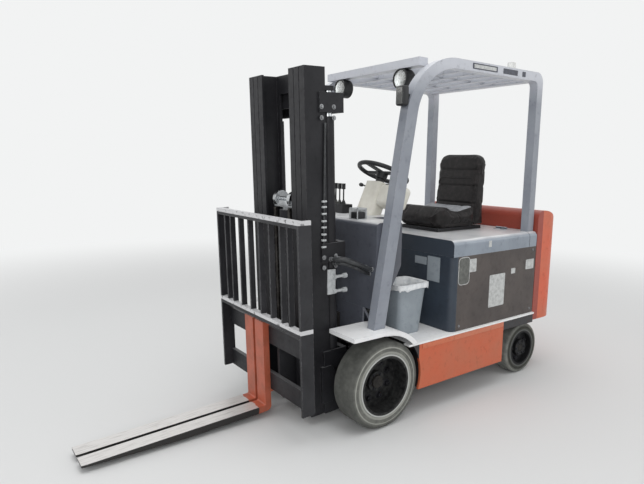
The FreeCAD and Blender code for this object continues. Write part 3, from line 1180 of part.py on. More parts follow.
def outer_tie(name, low, high):
    """A tie that passes behind the rear lift cylinders, with a bracket beside each."""
    reach = "railRearY + tieBehind + crossDepth"
    return union(name, [
        block(f"{name}Bar", ("-mastHalfWidth - tieBracket", "mastHalfWidth + tieBracket"),
              ("railRearY + tieBehind", reach), (low, high)),
        sided(f"{name}Bracket", lambda part, sign: block(
            part, side(sign, "mastHalfWidth", "mastHalfWidth + tieBracket"),
            ("railRearY - railFlange", reach), (low, high))),
    ])


def middle_tie(name, low, high):
    """A tie behind the inner rails and between the rear lift cylinders."""
    reach = "railRearY + middleTieBehind + middleTie"
    return union(name, [
        block(f"{name}Bar", ("-middleTieHalf", "middleTieHalf"),
              ("railRearY + middleTieBehind", reach), (low, high)),
        sided(f"{name}Bracket", lambda part, sign: block(
            part, side(sign, "innerOuterX + railGap", "middleTieHalf"),
            ("railRearY", reach), (low, high))),
    ])


def rail_roller(name, sign, low, web, reach):
    """The roller at a moving rail's foot, inside the next rail's channel."""
    return rod(name, "X", ("railMidY", f"{low} + rollerRise"), side(sign, web, reach),
               "rollerRadius")


def mast_ear(name, sign):
    x = side(sign, "mastHalfWidth", "mastHalfWidth + pivotEar")
    eye = rod(f"{name}Eye", "X", ("mastPivotY", "pivotZ"), x, "pivotEyeRadius")
    web = plate(f"{name}Web", "YZ", x, [
        ("railRearY - railDepth / 2", "pivotZ - earDrop"),
        ("railRearY", "pivotZ - earDrop"), ("mastPivotY", "pivotZ - pivotEyeRadius"),
        ("mastPivotY", "pivotZ + pivotEyeRadius"), ("railRearY", "pivotZ + earRise"),
        ("railRearY - railDepth / 2", "pivotZ + earRise")])
    bore = rod(f"{name}Bore", "X", ("mastPivotY", "pivotZ"), x, "pivotPinRadius + runningFit")
    return cut(name, union(f"{name}Blank", [eye, web]), [bore])


def tilt_ear(name, sign):
    """Two ears on the middle tie that hold a tilt cylinder's eye."""
    ears = []
    for spot, offset in (("In", "-tiltEyeHalf - tiltEar - 1"), ("Out", "tiltEyeHalf + 1")):
        x = side(sign, f"tiltX + ({offset})", f"tiltX + ({offset}) + tiltEar")
        ears.append(union(f"{name}{spot}", [
            rod(f"{name}{spot}Eye", "X", ("frontAxleY + tiltEyeY", "tiltEyeZ"), x, "tiltEye"),
            block(f"{name}{spot}Web", x,
                  ("railRearY + tieBehind + crossDepth", "frontAxleY + tiltEyeY"),
                  ("tiltEyeZ - tiltEye", "tiltEyeZ + tiltEye"))]))
    pin = rod(f"{name}Pin", "X", ("frontAxleY + tiltEyeY", "tiltEyeZ"),
              side(sign, "tiltX - tiltEyeHalf - tiltEar - 1", "tiltX + tiltEyeHalf + tiltEar + 1"),
              "tiltPinRadius")
    return union(name, ears + [pin])


keep("mast_outer", union("MastOuter", [
    sided("OuterRail", lambda name, sign: channel(
        name, sign, "mastHalfWidth", "mastBottom", "mastTop")),
    outer_tie("OuterTieTop", "outerTieTopZ", "outerTieTopZ + crossHeight"),
    outer_tie("OuterTieMiddle", "outerTieMidZ", "outerTieMidZ + crossHeight"),
    outer_tie("OuterTieTilt", "tiltEyeZ - crossHeight / 2", "tiltEyeZ + crossHeight / 2"),
    outer_tie("OuterTieLow", "mastBottom", "mastBottom + crossHeight"),
    sided("LiftFoot", lambda name, sign: block(
        name, side(sign, "mastHalfWidth - 2 * liftBarrelRadius", "mastHalfWidth"),
        ("railRearY", "railRearY + tieBehind"), ("mastBottom", "mastBottom + footPlate"))),
    sided("MastEar", mast_ear),
    sided("TiltEar", tilt_ear),
]), mastPose)
keep("lift_barrels", sided("LiftBarrels", lambda name, sign: cut(
    name, rod(f"{name}Tube", "Z",
              (f"{sign} * (mastHalfWidth - liftBarrelRadius)", "railRearY + liftBehind"),
              ("mastBottom + footPlate", "liftBarrelTop"), "liftBarrelRadius"),
    [rod(f"{name}Bore", "Z",
         (f"{sign} * (mastHalfWidth - liftBarrelRadius)", "railRearY + liftBehind"),
         ("mastBottom + 2 * footPlate", "liftBarrelTop"), "liftRodRadius + runningFit")])),
     mastPose)
keep("mast_middle", union("MastMiddle", [
    sided("MiddleRail", lambda name, sign: beam(
        name, sign, "middleOuterX", "mastBottom + footPlate", "mastTop")),
    sided("MiddleRoller", lambda name, sign: rail_roller(
        name, sign, "mastBottom + footPlate", "middleOuterX - (railFlange - railWeb) / 2",
        "outerWebX - railGap")),
    middle_tie("MiddleTieTop", "middleTieTopZ", "mastTop - footPlate"),
    middle_tie("MiddleTieLow", "mastBottom + footPlate", "mastBottom + footPlate + crossHeight"),
    block("LiftHead", ("-mastHalfWidth + railGap", "mastHalfWidth - railGap"),
          ("railRearY + railGap", "railRearY + liftBehind + liftRodRadius"),
          ("liftHeadZ", "liftHeadZ + footPlate")),
]), mastPose)
keep("lift_rods", sided("LiftRods", lambda name, sign: rod(
    name, "Z", (f"{sign} * (mastHalfWidth - liftBarrelRadius)", "railRearY + liftBehind"),
    ("mastBottom + 3 * footPlate", "liftHeadZ"), "liftRodRadius")), mastPose)
keep("mast_inner", union("MastInner", [
    sided("InnerRail", lambda name, sign: channel(
        name, sign, "innerOuterX", "mastBottom + 2 * footPlate", "mastTop")),
    sided("InnerRoller", lambda name, sign: rail_roller(
        name, sign, "mastBottom + 2 * footPlate", "innerOuterX",
        "middleOuterX - (railFlange + railWeb) / 2 - rollerGap")),
    union("InnerTies", [block(
        f"InnerTie{spot}", ("-windowHalf", "windowHalf"),
        ("railRearY - railLip", "railRearY"), (low, f"{low} + crossHeight"))
        for spot, low in (("Top", "mastTop - crossHeight"), ("Middle", "innerTieMidZ"),
                          ("Low", "mastBottom + 2 * footPlate"))]),
    block("FreeFoot", ("-freeBarrelRadius - freeForward", "freeBarrelRadius + freeForward"),
          ("freeY - freeBarrelRadius", "railRearY"),
          ("mastBottom + 2 * footPlate", "mastBottom + 3 * footPlate")),
]), mastPose)
keep("free_lift_barrel", cut("FreeLiftBarrel", rod(
    "FreeTube", "Z", ("0", "freeY"), ("mastBottom + 3 * footPlate", "freeBarrelTop"),
    "freeBarrelRadius"), [rod(
        "FreeBore", "Z", ("0", "freeY"), ("mastBottom + 4 * footPlate", "freeBarrelTop"),
        "freeRodRadius + runningFit")]), mastPose)
keep("free_lift_rod", union("FreeLiftRod", [
    rod("FreeRod", "Z", ("0", "freeY"), ("mastBottom + 5 * footPlate", "crossheadZ"),
        "freeRodRadius"),
    block("Crosshead", ("-sheaveX - sheaveWidth", "sheaveX + sheaveWidth"),
          ("freeY - crossheadDeep / 2", "freeY + crossheadDeep / 2"),
          ("crossheadZ", "crossheadZ + crossheadTall")),
    rod("SheavePin", "X", ("freeY", "sheaveZ"),
        ("-sheaveX - sheaveWidth", "sheaveX + sheaveWidth"), "sheavePin"),
    sided("Sheave", lambda name, sign: rod(
        name, "X", ("freeY", "sheaveZ"),
        side(sign, "sheaveX - sheaveWidth / 2", "sheaveX + sheaveWidth / 2"), "sheaveRadius")),
    sided("ChainTail", lambda name, sign: block(
        name, side(sign, "sheaveX - chainWidth / 2", "sheaveX + chainWidth / 2"),
        ("freeY + sheaveRadius - chainInset - chainThick", "freeY + sheaveRadius - chainInset"),
        ("sheaveZ - chainTail", "sheaveZ"))),
]), mastPose)

# Carriage: side plates with rollers inside the inner rails, two fork bars and the chain anchors


def carriage_side(name, sign):
    plate_x = side(sign, "carriagePlateX - carriagePlate", "carriagePlateX")
    rollers = [rod(f"{name}Roller{index}", "X", ("railMidY", f"rollerLowZ + {index} * rollerPitch"),
                   side(sign, "windowHalf + rollerGap", "windowHalf + rollerGap + rollerWidth"),
                   "rollerRadius")
               for index in range(2)]
    stubs = [rod(f"{name}Stub{index}", "X", ("railMidY", f"rollerLowZ + {index} * rollerPitch"),
                 side(sign, "carriagePlateX", "windowHalf + rollerGap"), "rollerRadius / 2")
             for index in range(2)]
    rear = "railMidY + rollerRadius / 2"
    hook_rear = "barRearY + hookClear + hookLip + railGap"
    top, low = "rollerLowZ + rollerPitch + rollerRadius / 2", "rollerLowZ - rollerRadius / 2"
    web = plate(f"{name}Plate", "YZ", plate_x, [
        ("barRearY", "barLowZ + 2 * hookDeep"), ("barRearY", top), (rear, top), (rear, low),
        (hook_rear, low), (hook_rear, "barLowZ + 2 * hookDeep")])
    anchor_z = "rollerLowZ + rollerPitch"
    anchor = block(f"{name}Anchor",
                   side(sign, "sheaveX - chainWidth / 2", "carriagePlateX - carriagePlate"),
                   ("freeY - sheaveRadius - anchorBar / 2", "freeY - sheaveRadius + anchorBar / 2"),
                   (f"{anchor_z} - anchorTall / 2", f"{anchor_z} + anchorTall / 2"))
    return union(name, [web, anchor] + rollers + stubs)


keep("carriage", union("Carriage", [
    sided("CarriageSide", carriage_side),
    union("ForkBars", [block(
        f"ForkBar{spot}", ("-carriageHalfWidth", "carriageHalfWidth"), ("barFrontY", "barRearY"),
        (low, f"{low} + carriageBarHeight")) for spot, low in (
            ("Top", "carriageBarTop - carriageBarHeight"), ("Low", "barLowZ"))]),
]), mastPose)
keep("lift_chains", sided("LiftChains", lambda name, sign: block(
    name, side(sign, "sheaveX - chainWidth / 2", "sheaveX + chainWidth / 2"),
    ("freeY - sheaveRadius + chainInset", "freeY - sheaveRadius + chainInset + chainThick"),
    ("rollerLowZ + rollerPitch + anchorTall / 2", "sheaveZ - sheaveRadius"))), mastPose)


def fork(name, centre):
    """A fork: a shank hooked over both bars and a blade that thins and narrows to its tip."""
    front, back = "frontAxleY + shankFront", "frontAxleY + shankFront + forkThick"
    tip = f"{front} - forkLength"
    span = (f"{centre} - forkWidth / 2", f"{centre} + forkWidth / 2")
    side_view = plate(f"{name}Side", "YZ", span, [
        (back, "forkBottom", "forkHeelRound"),
        (back, "barLowZ - hookClear - forkThick / 2"),
        ("barRearY + hookClear + hookLip", "barLowZ - hookClear - forkThick / 2"),
        ("barRearY + hookClear + hookLip", "barLowZ + hookDeep"),
        ("barRearY + hookClear", "barLowZ + hookDeep"),
        ("barRearY + hookClear", "barLowZ - hookClear"),
        (back, "barLowZ - hookClear"),
        (back, "carriageBarTop + hookClear"),
        ("barRearY + hookClear", "carriageBarTop + hookClear"),
        ("barRearY + hookClear", "carriageBarTop - hookDeep"),
        ("barRearY + hookClear + hookLip", "carriageBarTop - hookDeep"),
        ("barRearY + hookClear + hookLip", "shankTop"),
        (front, "shankTop"),
        (front, "forkBottom + forkThick", "forkThick / 4"),
        (tip, "forkBottom + forkThick"),
        (tip, "forkBottom + forkThick - forkTipThick"),
        (f"{tip} + forkTaper", "forkBottom"),
    ])
    plan = plate(f"{name}Plan", "XY", ("forkBottom", "shankTop"), [
        (span[0], "barRearY + 2 * hookLip"), (span[1], "barRearY + 2 * hookLip"),
        (span[1], f"{tip} + forkTipLong"), (f"{centre} + forkTipHalf", tip),
        (f"{centre} - forkTipHalf", tip), (span[0], f"{tip} + forkTipLong"),
    ])
    return common(name, side_view, plan)


keep("fork_left", fork("ForkLeft", "nearForkX"), mastPose)
keep("fork_right", fork("ForkRight", "farForkX"), mastPose)

rest_face = ("frontAxleY + restPlane", "frontAxleY + restPlane + restDepth")
rest_columns = ["restColumnFirst", "restColumnSecond", "restColumnThird", "restColumnFourth"]
keep("load_backrest", union("LoadBackrest", [
    union("RestRails", [block(
        f"RestRail{spot}", ("-restHalfWidth", "restHalfWidth"), rest_face,
        (low, f"{low} + restRail")) for spot, low in (
            ("Top", "restTop - restRail"), ("Low", "restBottom"))]),
    sided("RestEnd", lambda name, sign: block(
        name, side(sign, "restHalfWidth - restEnd", "restHalfWidth"),
        ("frontAxleY + restPlane", "barRearY"), ("barLowZ", "restTop"))),
] + [sided(f"RestBar{index}", lambda name, sign: block(
    name, side(sign, f"{column} - restBar / 2", f"{column} + restBar / 2"), rest_face,
    ("restBottom + restRail", "restTop - restRail"))) for index, column in enumerate(rest_columns)]),
     mastPose)

# Tilt cylinders, drawn along their own axis from the frame pin and turned to meet the mast's pin


def tilt_pose(sign):
    rise = number("tiltPinZ - tiltRearZ")
    run = number("frontAxleY + tiltRearY - (tiltPinY)")
    return FreeCAD.Placement(
        FreeCAD.Vector(sign * number("tiltX"), number("frontAxleY + tiltRearY"),
                       number("tiltRearZ")),
        FreeCAD.Rotation(FreeCAD.Vector(1, 0, 0), -math.degrees(math.atan2(rise, run))))


for hand, sign in hands:
    keep(f"tilt_barrel_{hand.lower()}", cut(f"TiltBarrel{hand}", union(f"TiltTube{hand}Blank", [
        rod(f"TiltTube{hand}", "Y", ("0", "0"), ("-tiltBarrelLength", "-tiltEye"),
            "tiltBarrelRadius"),
        rod(f"TiltRearEye{hand}", "X", ("0", "0"),
            ("-tiltBarrelRadius + pinShoulder", "tiltBarrelRadius - pinShoulder"), "tiltEye + 2"),
    ]), [
        rod(f"TiltRearBore{hand}", "X", ("0", "0"), ("-tiltBarrelRadius", "tiltBarrelRadius"),
            "tiltPinRadius + runningFit"),
        rod(f"TiltRodBore{hand}", "Y", ("0", "0"), ("-tiltBarrelLength", "-tiltEye * 2"),
            "tiltRodRadius + runningFit"),
    ]), tilt_pose(sign))
    keep(f"tilt_rod_{hand.lower()}", cut(f"TiltRod{hand}", union(f"TiltRod{hand}Blank", [
        rod(f"TiltRodBar{hand}", "Y", ("0", "0"),
            ("-tiltLength + tiltEye - pinShoulder", "-tiltEye * 4"), "tiltRodRadius"),
        rod(f"TiltRodEye{hand}", "X", ("-tiltLength", "0"), ("-tiltEyeHalf", "tiltEyeHalf"),
            "tiltEye"),
    ]), [rod(f"TiltRodHole{hand}", "X", ("-tiltLength", "0"), ("-tiltEyeHalf", "tiltEyeHalf"),
             "tiltPinRadius + tiltEyeSlack")]), tilt_pose(sign))

doc.removeObject(probe.Name)
doc.recompute()
for thing in doc.Objects:
    faults = {"Invalid", "Error"} & set(thing.State)
    if faults:
        raise RuntimeError(f"{thing.Label}: {sorted(faults)}")
for label, solid in parts.items():
    if solid.Shape.isNull() or not solid.Shape.isValid():
        raise RuntimeError(f"{label}: no valid shape")
os.makedirs("parts", exist_ok=True)
for label, solid in parts.items():
    solid.Shape.exportStep(os.path.join("parts", f"{label}.step"))
print(len(parts), "pieces written")
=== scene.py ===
import math

import bmesh
import bpy
from mathutils import Matrix, Vector


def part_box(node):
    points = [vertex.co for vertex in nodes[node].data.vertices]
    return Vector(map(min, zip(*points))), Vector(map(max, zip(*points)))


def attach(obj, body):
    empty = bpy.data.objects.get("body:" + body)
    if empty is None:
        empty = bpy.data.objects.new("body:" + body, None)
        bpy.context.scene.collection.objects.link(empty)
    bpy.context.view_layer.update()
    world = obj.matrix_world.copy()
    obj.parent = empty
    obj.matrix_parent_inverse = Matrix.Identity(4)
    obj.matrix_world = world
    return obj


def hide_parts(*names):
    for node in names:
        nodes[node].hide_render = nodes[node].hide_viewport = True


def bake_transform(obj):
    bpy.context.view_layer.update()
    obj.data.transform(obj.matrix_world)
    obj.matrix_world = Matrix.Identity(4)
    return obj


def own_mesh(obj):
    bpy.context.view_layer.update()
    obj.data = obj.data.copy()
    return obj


# Electric counterbalance forklift, dressed over its CAD frame. Lengths in the settings are millimetres,
# x across, y back from the front axle, z up from the floor, as in the part's own source.
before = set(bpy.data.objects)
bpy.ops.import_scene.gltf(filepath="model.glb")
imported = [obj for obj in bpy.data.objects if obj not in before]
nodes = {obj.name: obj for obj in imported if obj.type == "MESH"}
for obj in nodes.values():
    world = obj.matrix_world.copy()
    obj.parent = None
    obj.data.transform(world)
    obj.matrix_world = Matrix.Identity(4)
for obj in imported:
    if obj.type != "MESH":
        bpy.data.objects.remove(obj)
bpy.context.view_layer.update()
print("stage: frame loaded,", len(nodes), "nodes")

truck = {"axleY": -107.42, "mastPivot": (-150, 236), "mastLean": 2.0, "wheelbase": 1450}


def place(x, y, z):
    return Vector((x, y + truck["axleY"], z)) / 1000


def leanMatrix():
    pivot = place(0, *truck["mastPivot"])
    turn = Matrix.Rotation(math.radians(truck["mastLean"]), 4, "X")
    return Matrix.Translation(pivot) @ turn @ Matrix.Translation(-pivot)


mastLean = leanMatrix()


# camera, lamps and floor
view = {"lens": 30.21, "at": (2.7925, -2.2081, 1.5825), "yaw": 0.63, "pitch": 0.15, "roll": 0.01}


def makeCamera():
    data = bpy.data.cameras.new("photoCamera")
    data.lens = view["lens"]
    data.sensor_width = 36
    cam = bpy.data.objects.new("photoCamera", data)
    bpy.context.scene.collection.objects.link(cam)
    yaw, pitch, roll = view["yaw"], view["pitch"], view["roll"]
    ahead = Vector((-math.cos(yaw) * math.cos(pitch), math.sin(yaw) * math.cos(pitch), -math.sin(pitch)))
    right = ahead.cross(Vector((0, 0, 1))).normalized()
    up = right.cross(ahead)
    rightRolled = math.cos(roll) * right + math.sin(roll) * up
    upRolled = math.cos(roll) * up - math.sin(roll) * right
    turn = Matrix((rightRolled, upRolled, -ahead)).transposed().to_4x4()
    cam.matrix_world = Matrix.Translation(view["at"]) @ turn
    bpy.context.scene.camera = cam


studio = {
    "world": 0.50,
    # name, where it stands, what it faces, side in metres, watts
    "lamps": [
        ("topBox", (0.6, -0.5, 10.0), (0, 0.3, 0.6), 8.0, 480),
        ("frontBox", (6.5, -5.5, 3.8), (0, 0.2, 0.9), 4.0, 185),
        ("leftBox", (-4.0, -6.0, 3.4), (0, -0.2, 0.8), 4.0, 70),
        ("rearBox", (5.0, 6.0, 4.0), (0, 0.6, 0.9), 4.0, 60),
    ],
    "floorColour": "#D9DADA",
    "floorHalf": 60.0,
    "backdrop": "#F2F3F3",
    "fade": (3.2, 8.0),
}


def makeLamps():
    for name, at, to, side, watts in studio["lamps"]:
        data = bpy.data.lights.new(name, "AREA")
        data.shape = "SQUARE"
        data.size = side
        data.energy = watts
        lamp = bpy.data.objects.new(name, data)
        lamp.location = at
        lamp.rotation_euler = (Vector(to) - Vector(at)).to_track_quat("-Z", "Y").to_euler()
        bpy.context.scene.collection.objects.link(lamp)


# colour and nodes
def hexToLinear(code):
    parts = [int(code[i:i + 2], 16) / 255 for i in (1, 3, 5)]
    return [c / 12.92 if c <= 0.04045 else ((c + 0.055) / 1.055) ** 2.4 for c in parts] + [1.0]


def addNode(tree, kind, inputs=None, **settings):
    node = tree.nodes.new("ShaderNode" + kind)
    for key, value in settings.items():
        setattr(node, key, value)
    for key, value in (inputs or {}).items():
        if isinstance(value, bpy.types.NodeSocket):
            tree.links.new(value, node.inputs[key])
        else:
            node.inputs[key].default_value = value
    return node


def perMetre(millimetres):
    return 1000 / millimetres


def startMaterial(name):
    made = bpy.data.materials.new(name)
    made.use_nodes = True
    made.node_tree.nodes.clear()
    return made, made.node_tree


def finishMaterial(tree, inputs):
    shader = addNode(tree, "BsdfPrincipled", inputs)
    addNode(tree, "OutputMaterial", {"Surface": shader.outputs["BSDF"]})
    return shader


def softEdge(tree, radius):
    return addNode(tree, "Bevel", {"Radius": radius / 1000}, samples=4).outputs["Normal"]


# how far a point is from an outer edge, 0 on a flat and 1 on the arris
def edgeMask(tree, rounded, spread, grain):
    plain = addNode(tree, "NewGeometry")
    turned = addNode(tree, "VectorMath", {0: rounded, 1: plain.outputs["Normal"]}, operation="DOT_PRODUCT")
    near = addNode(tree, "MapRange", {"Value": turned.outputs["Value"], "From Min": 0.985, "From Max": 0.80,
                                      "To Min": 0.0, "To Max": spread})
    return addNode(tree, "Math", {0: near.outputs["Result"], 1: grain}, operation="MULTIPLY", use_clamp=True)


paints = {
    # Enamel sprayed on plate in the works: soft gloss, faint orange peel, chipped to dark primer on arrises. Behind the
    # skirt and on its inner faces the frame is painted near black, as painted shade.
    "sprayedOrangeEnamel": {"colour": "#C9603C", "faded": "#BE6848", "dirt": "#7A4A38", "chip": "#4A3A34",
                            "rough": 0.42, "dust": 0.18, "peel": 0.10, "chips": 0.75,
                            "shadeZone": {"x": 538, "y": (285, 1136), "else": "#242326"}},
    # The pressed band along the skirt's top, a shade paler where it catches the light.
    "sprayedOrangeTrim": {"colour": "#CF7250", "faded": "#C97A5C", "dirt": "#7A4A38", "chip": "#4A3A34",
                          "rough": 0.42, "dust": 0.18, "peel": 0.10, "chips": 0.6},
    # The same enamel, thick over a rough casting: broad soft ripples and a duller shine. Ahead of y 1560 it is a darker
    # red, painted shade in the recess beside the panel.
    "enamelOverCastIron": {"colour": "#D6603F", "faded": "#C9694B", "dirt": "#8A4535", "chip": "#54403A",
                           "rough": 0.46, "dust": 0.14, "peel": 0.35, "chips": 0.5,
                           "shadeZone": {"x": -1, "y": (1560, 3000), "else": "#9A4436"}},
    # Powder coat baked on tube: even satin blue grey and dusty, painted paler towards the roof as a painted highlight
    # that turns the roof rails nearly white.
    "powderCoatSlateGrey": {"colour": "#868B95", "faded": "#9398A1", "dirt": "#5D6067", "chip": "#C9CBCD",
                            "rough": 0.42, "dust": 0.80, "peel": 0.08, "chips": 0.6, "coat": 0.2,
                            "roofHighlight": (1.98, 2.16, "#C3C6CE")},
    # Powder coat on the pressed hood, a shade bluer; its heavy dust on the top is also a painted highlight that whitens
    # it, and its front face is a darker blue grey, painted shade.
    "powderCoatHoodGrey": {"colour": "#7E8894", "faded": "#8C96A2", "dirt": "#565C65", "chip": "#B9BCC0",
                           "rough": 0.36, "dust": 1.9, "peel": 0.08, "chips": 0.45, "coat": 0.5,
                           "front": "#3A424D"},
    # Powder coat on the folded dash plate, darker, with hand wear; its heavy dust on top is also a painted highlight.
    "powderCoatDashGrey": {"colour": "#50535C", "faded": "#5C606A", "dirt": "#34363C", "chip": "#A6A9AE",
                           "rough": 0.46, "dust": 1.8, "peel": 0.10, "chips": 0.45, "coat": 0.3},
    # Pale powder coat on fenders and sills: chalky, scuffed grey by boots.
    "powderCoatPaleGrey": {"colour": "#F0F1F2", "faded": "#E9EAEB", "dirt": "#C0C1C2", "chip": "#7C7D80",
                           "rough": 0.46, "dust": 0.15, "peel": 0.08, "chips": 0.6},
    # The same on the sill strips, wiped clean and bright by every boot.
    "powderCoatSillWhite": {"colour": "#F3F4F4", "faded": "#EDEEEE", "dirt": "#CFD0D0", "chip": "#C6C7C8",
                            "rough": 0.44, "dust": 0.1, "peel": 0.08, "chips": 0.3},
    # Pale paint on the open box behind the pedals, greyer and in shade.
    "powderCoatBoxGrey": {"colour": "#8F989F", "faded": "#9FA7AE", "dirt": "#60666C", "chip": "#5C5D60",
                          "rough": 0.50, "dust": 0.15, "peel": 0.08, "chips": 0.4},
    # Dark blue grey paint on the battery bulkhead.
    "brushedBulkheadPaint": {"colour": "#2B3440", "faded": "#35404C", "dirt": "#1B2027", "chip": "#8D9196",
                             "rough": 0.50, "dust": 0.16, "peel": 0.14, "chips": 0.5},
    # Brown grey stove enamel on the lift-off panels, dulled by handling.
    "stoveEnamelBrown": {"colour": "#4A4442", "faded": "#57504D", "dirt": "#332F2E", "chip": "#99918C",
                         "rough": 0.44, "dust": 0.22, "peel": 0.10, "chips": 0.6, "shine": 0.35,
                         "coat": 0.0},
    # Thick black chassis paint on rolled mast section, greasy and scraped.
    "blackPaintRolledSteel": {"colour": "#1D1D20", "faded": "#29292C", "dirt": "#121212", "chip": "#6E6F73",
                              "rough": 0.44, "dust": 0.22, "peel": 0.20, "chips": 0.9, "shine": 0.25,
                              "coat": 0.0},
    # The same black on the load guard, polished grey along its bars by pallets; its pale arrises, rail bands and heavy
    # dust are also a painted highlight on the bar edges and rail tops.
    "blackPaintLoadGuard": {"colour": "#242427", "faded": "#353538", "dirt": "#181818", "chip": "#A2A3A6",
                            "rough": 0.42, "dust": 1.4, "peel": 0.20, "chips": 1.2, "shine": 0.3,
                            "coat": 0.0, "rubbed": [(0.664, 0.012), (1.258, 0.012)], "bare": "#CFCFD1"},
}


# the first coat shows only where x is past its limit and y within its span; elsewhere lies another colour, a painted
# shade
def shadedZoneColour(tree, where, paint, shadeZone):
    parts = addNode(tree, "SeparateXYZ", {"Vector": where})
    wide = addNode(tree, "Math", {0: parts.outputs["X"]}, operation="ABSOLUTE")
    keep = addNode(tree, "Math", {0: wide.outputs[0], 1: shadeZone["x"] / 1000}, operation="GREATER_THAN")
    for limit, test in ((shadeZone["y"][0], "GREATER_THAN"), (shadeZone["y"][1], "LESS_THAN")):
        inside = addNode(tree, "Math", {0: parts.outputs["Y"], 1: place(0, limit, 0).y}, operation=test)
        keep = addNode(tree, "Math", {0: keep.outputs[0], 1: inside.outputs[0]}, operation="MULTIPLY")
    return addNode(tree, "Mix", {"Factor": keep.outputs[0], 6: hexToLinear(shadeZone["else"]), 7: paint},
                   data_type="RGBA").outputs[2]


def paintMaterial(name, spec):
    made, tree = startMaterial(name)
    where = addNode(tree, "TexCoord").outputs["Object"]
    patches = addNode(tree, "TexNoise", {"Vector": where, "Scale": perMetre(260), "Detail": 4.0, "Roughness": 0.55})
    grime = addNode(tree, "TexNoise", {"Vector": where, "Scale": perMetre(38), "Detail": 6.0, "Roughness": 0.65})
    rubbed = addNode(tree, "TexNoise", {"Vector": where, "Scale": perMetre(14), "Detail": 5.0, "Roughness": 0.7})
    rounded = softEdge(tree, 2.5)
    fade = addNode(tree, "MapRange", {"Value": patches.outputs["Fac"], "From Min": 0.38, "From Max": 0.66})
    base = addNode(tree, "Mix", {"Factor": fade.outputs["Result"], 6: hexToLinear(spec["colour"]),
                                 7: hexToLinear(spec["faded"])}, data_type="RGBA")
    paint = base.outputs[2]
    if "shadeZone" in spec:
        paint = shadedZoneColour(tree, where, paint, spec["shadeZone"])
    # painted highlight: the paint turns paler with height towards the roof
    if "roofHighlight" in spec:
        low, high, pale = spec["roofHighlight"]
        tall = addNode(tree, "SeparateXYZ", {"Vector": where}).outputs["Z"]
        rise = addNode(tree, "MapRange", {"Value": tall, "From Min": low, "From Max": high})
        paint = addNode(tree, "Mix", {"Factor": rise.outputs["Result"], 6: paint, 7: hexToLinear(pale)},
                        data_type="RGBA").outputs[2]
    spots = addNode(tree, "MapRange", {"Value": grime.outputs["Fac"], "From Min": 0.56, "From Max": 0.80,
                                       "To Max": 0.55})
    dirty = addNode(tree, "Mix", {"Factor": spots.outputs["Result"], 6: paint,
                                  7: hexToLinear(spec["dirt"])}, data_type="RGBA")
    # pale dust lies on faces that look up; on the hood, dash and load guard its amount is set high, so there it is also
    # a painted highlight on their tops
    facing = addNode(tree, "SeparateXYZ", {"Vector": addNode(tree, "NewGeometry").outputs["Normal"]})
    lying = addNode(tree, "MapRange", {"Value": facing.outputs["Z"], "From Min": 0.55, "From Max": 1.0,
                                       "To Max": spec["dust"]})
    dustAndTopHighlight = addNode(tree, "Math", {0: lying.outputs["Result"], 1: patches.outputs["Fac"]}, operation="MULTIPLY")
    dusty = addNode(tree, "Mix", {"Factor": dustAndTopHighlight.outputs[0], 6: dirty.outputs[2],
                                  7: hexToLinear("#E4E5E6")}, data_type="RGBA")
    grain = addNode(tree, "MapRange", {"Value": rubbed.outputs["Fac"], "From Min": 0.42, "From Max": 0.60})
    arris = edgeMask(tree, rounded, spec["chips"], grain.outputs["Result"])
    coated = dusty.outputs[2]
    # pale bands on the rails where loads rub, also a painted highlight along the rail tops, as a height and half its
    # span in metres
    for height, half in spec.get("rubbed", ()):
        tall = addNode(tree, "SeparateXYZ", {"Vector": where}).outputs["Z"]
        near = addNode(tree, "Math", {0: tall, 1: height, 2: half}, operation="COMPARE")
        torn = addNode(tree, "MapRange", {"Value": grime.outputs["Fac"], "From Min": 0.33, "From Max": 0.45})
        share = addNode(tree, "Math", {0: near.outputs[0], 1: torn.outputs["Result"]}, operation="MULTIPLY")
        coated = addNode(tree, "Mix", {"Factor": share.outputs[0], 6: coated, 7: hexToLinear(spec["bare"])},
                         data_type="RGBA").outputs[2]
    # painted shade: faces that look forward take a darker colour
    if "front" in spec:
        ahead = addNode(tree, "Math", {0: facing.outputs["Y"], 1: -0.8}, operation="LESS_THAN")
        coated = addNode(tree, "Mix", {"Factor": ahead.outputs[0], 6: coated, 7: hexToLinear(spec["front"])},
                         data_type="RGBA").outputs[2]
    worn = addNode(tree, "Mix", {"Factor": arris.outputs[0], 6: coated,
                                 7: hexToLinear(spec["chip"])}, data_type="RGBA")
    rough = addNode(tree, "MapRange", {"Value": grime.outputs["Fac"], "From Min": 0.3, "From Max": 0.75,
                                       "To Min": spec["rough"] - 0.06, "To Max": spec["rough"] + 0.16})
    # orange peel has waves of about 2 mm, drawn at 5 mm so that it shows
    skin = addNode(tree, "TexNoise", {"Vector": where, "Scale": perMetre(5), "Detail": 1.0})
    bump = addNode(tree, "Bump", {"Height": skin.outputs["Fac"], "Strength": spec["peel"], "Distance": 0.001,
                                  "Normal": rounded})
    finishMaterial(tree, {"Base Color": worn.outputs[2], "Roughness": rough.outputs["Result"],
                          "Normal": bump.outputs["Normal"], "Coat Weight": spec.get("coat", 0.08),
                          "Coat Roughness": 0.12, "Specular IOR Level": spec.get("shine", 0.5)})
    return made


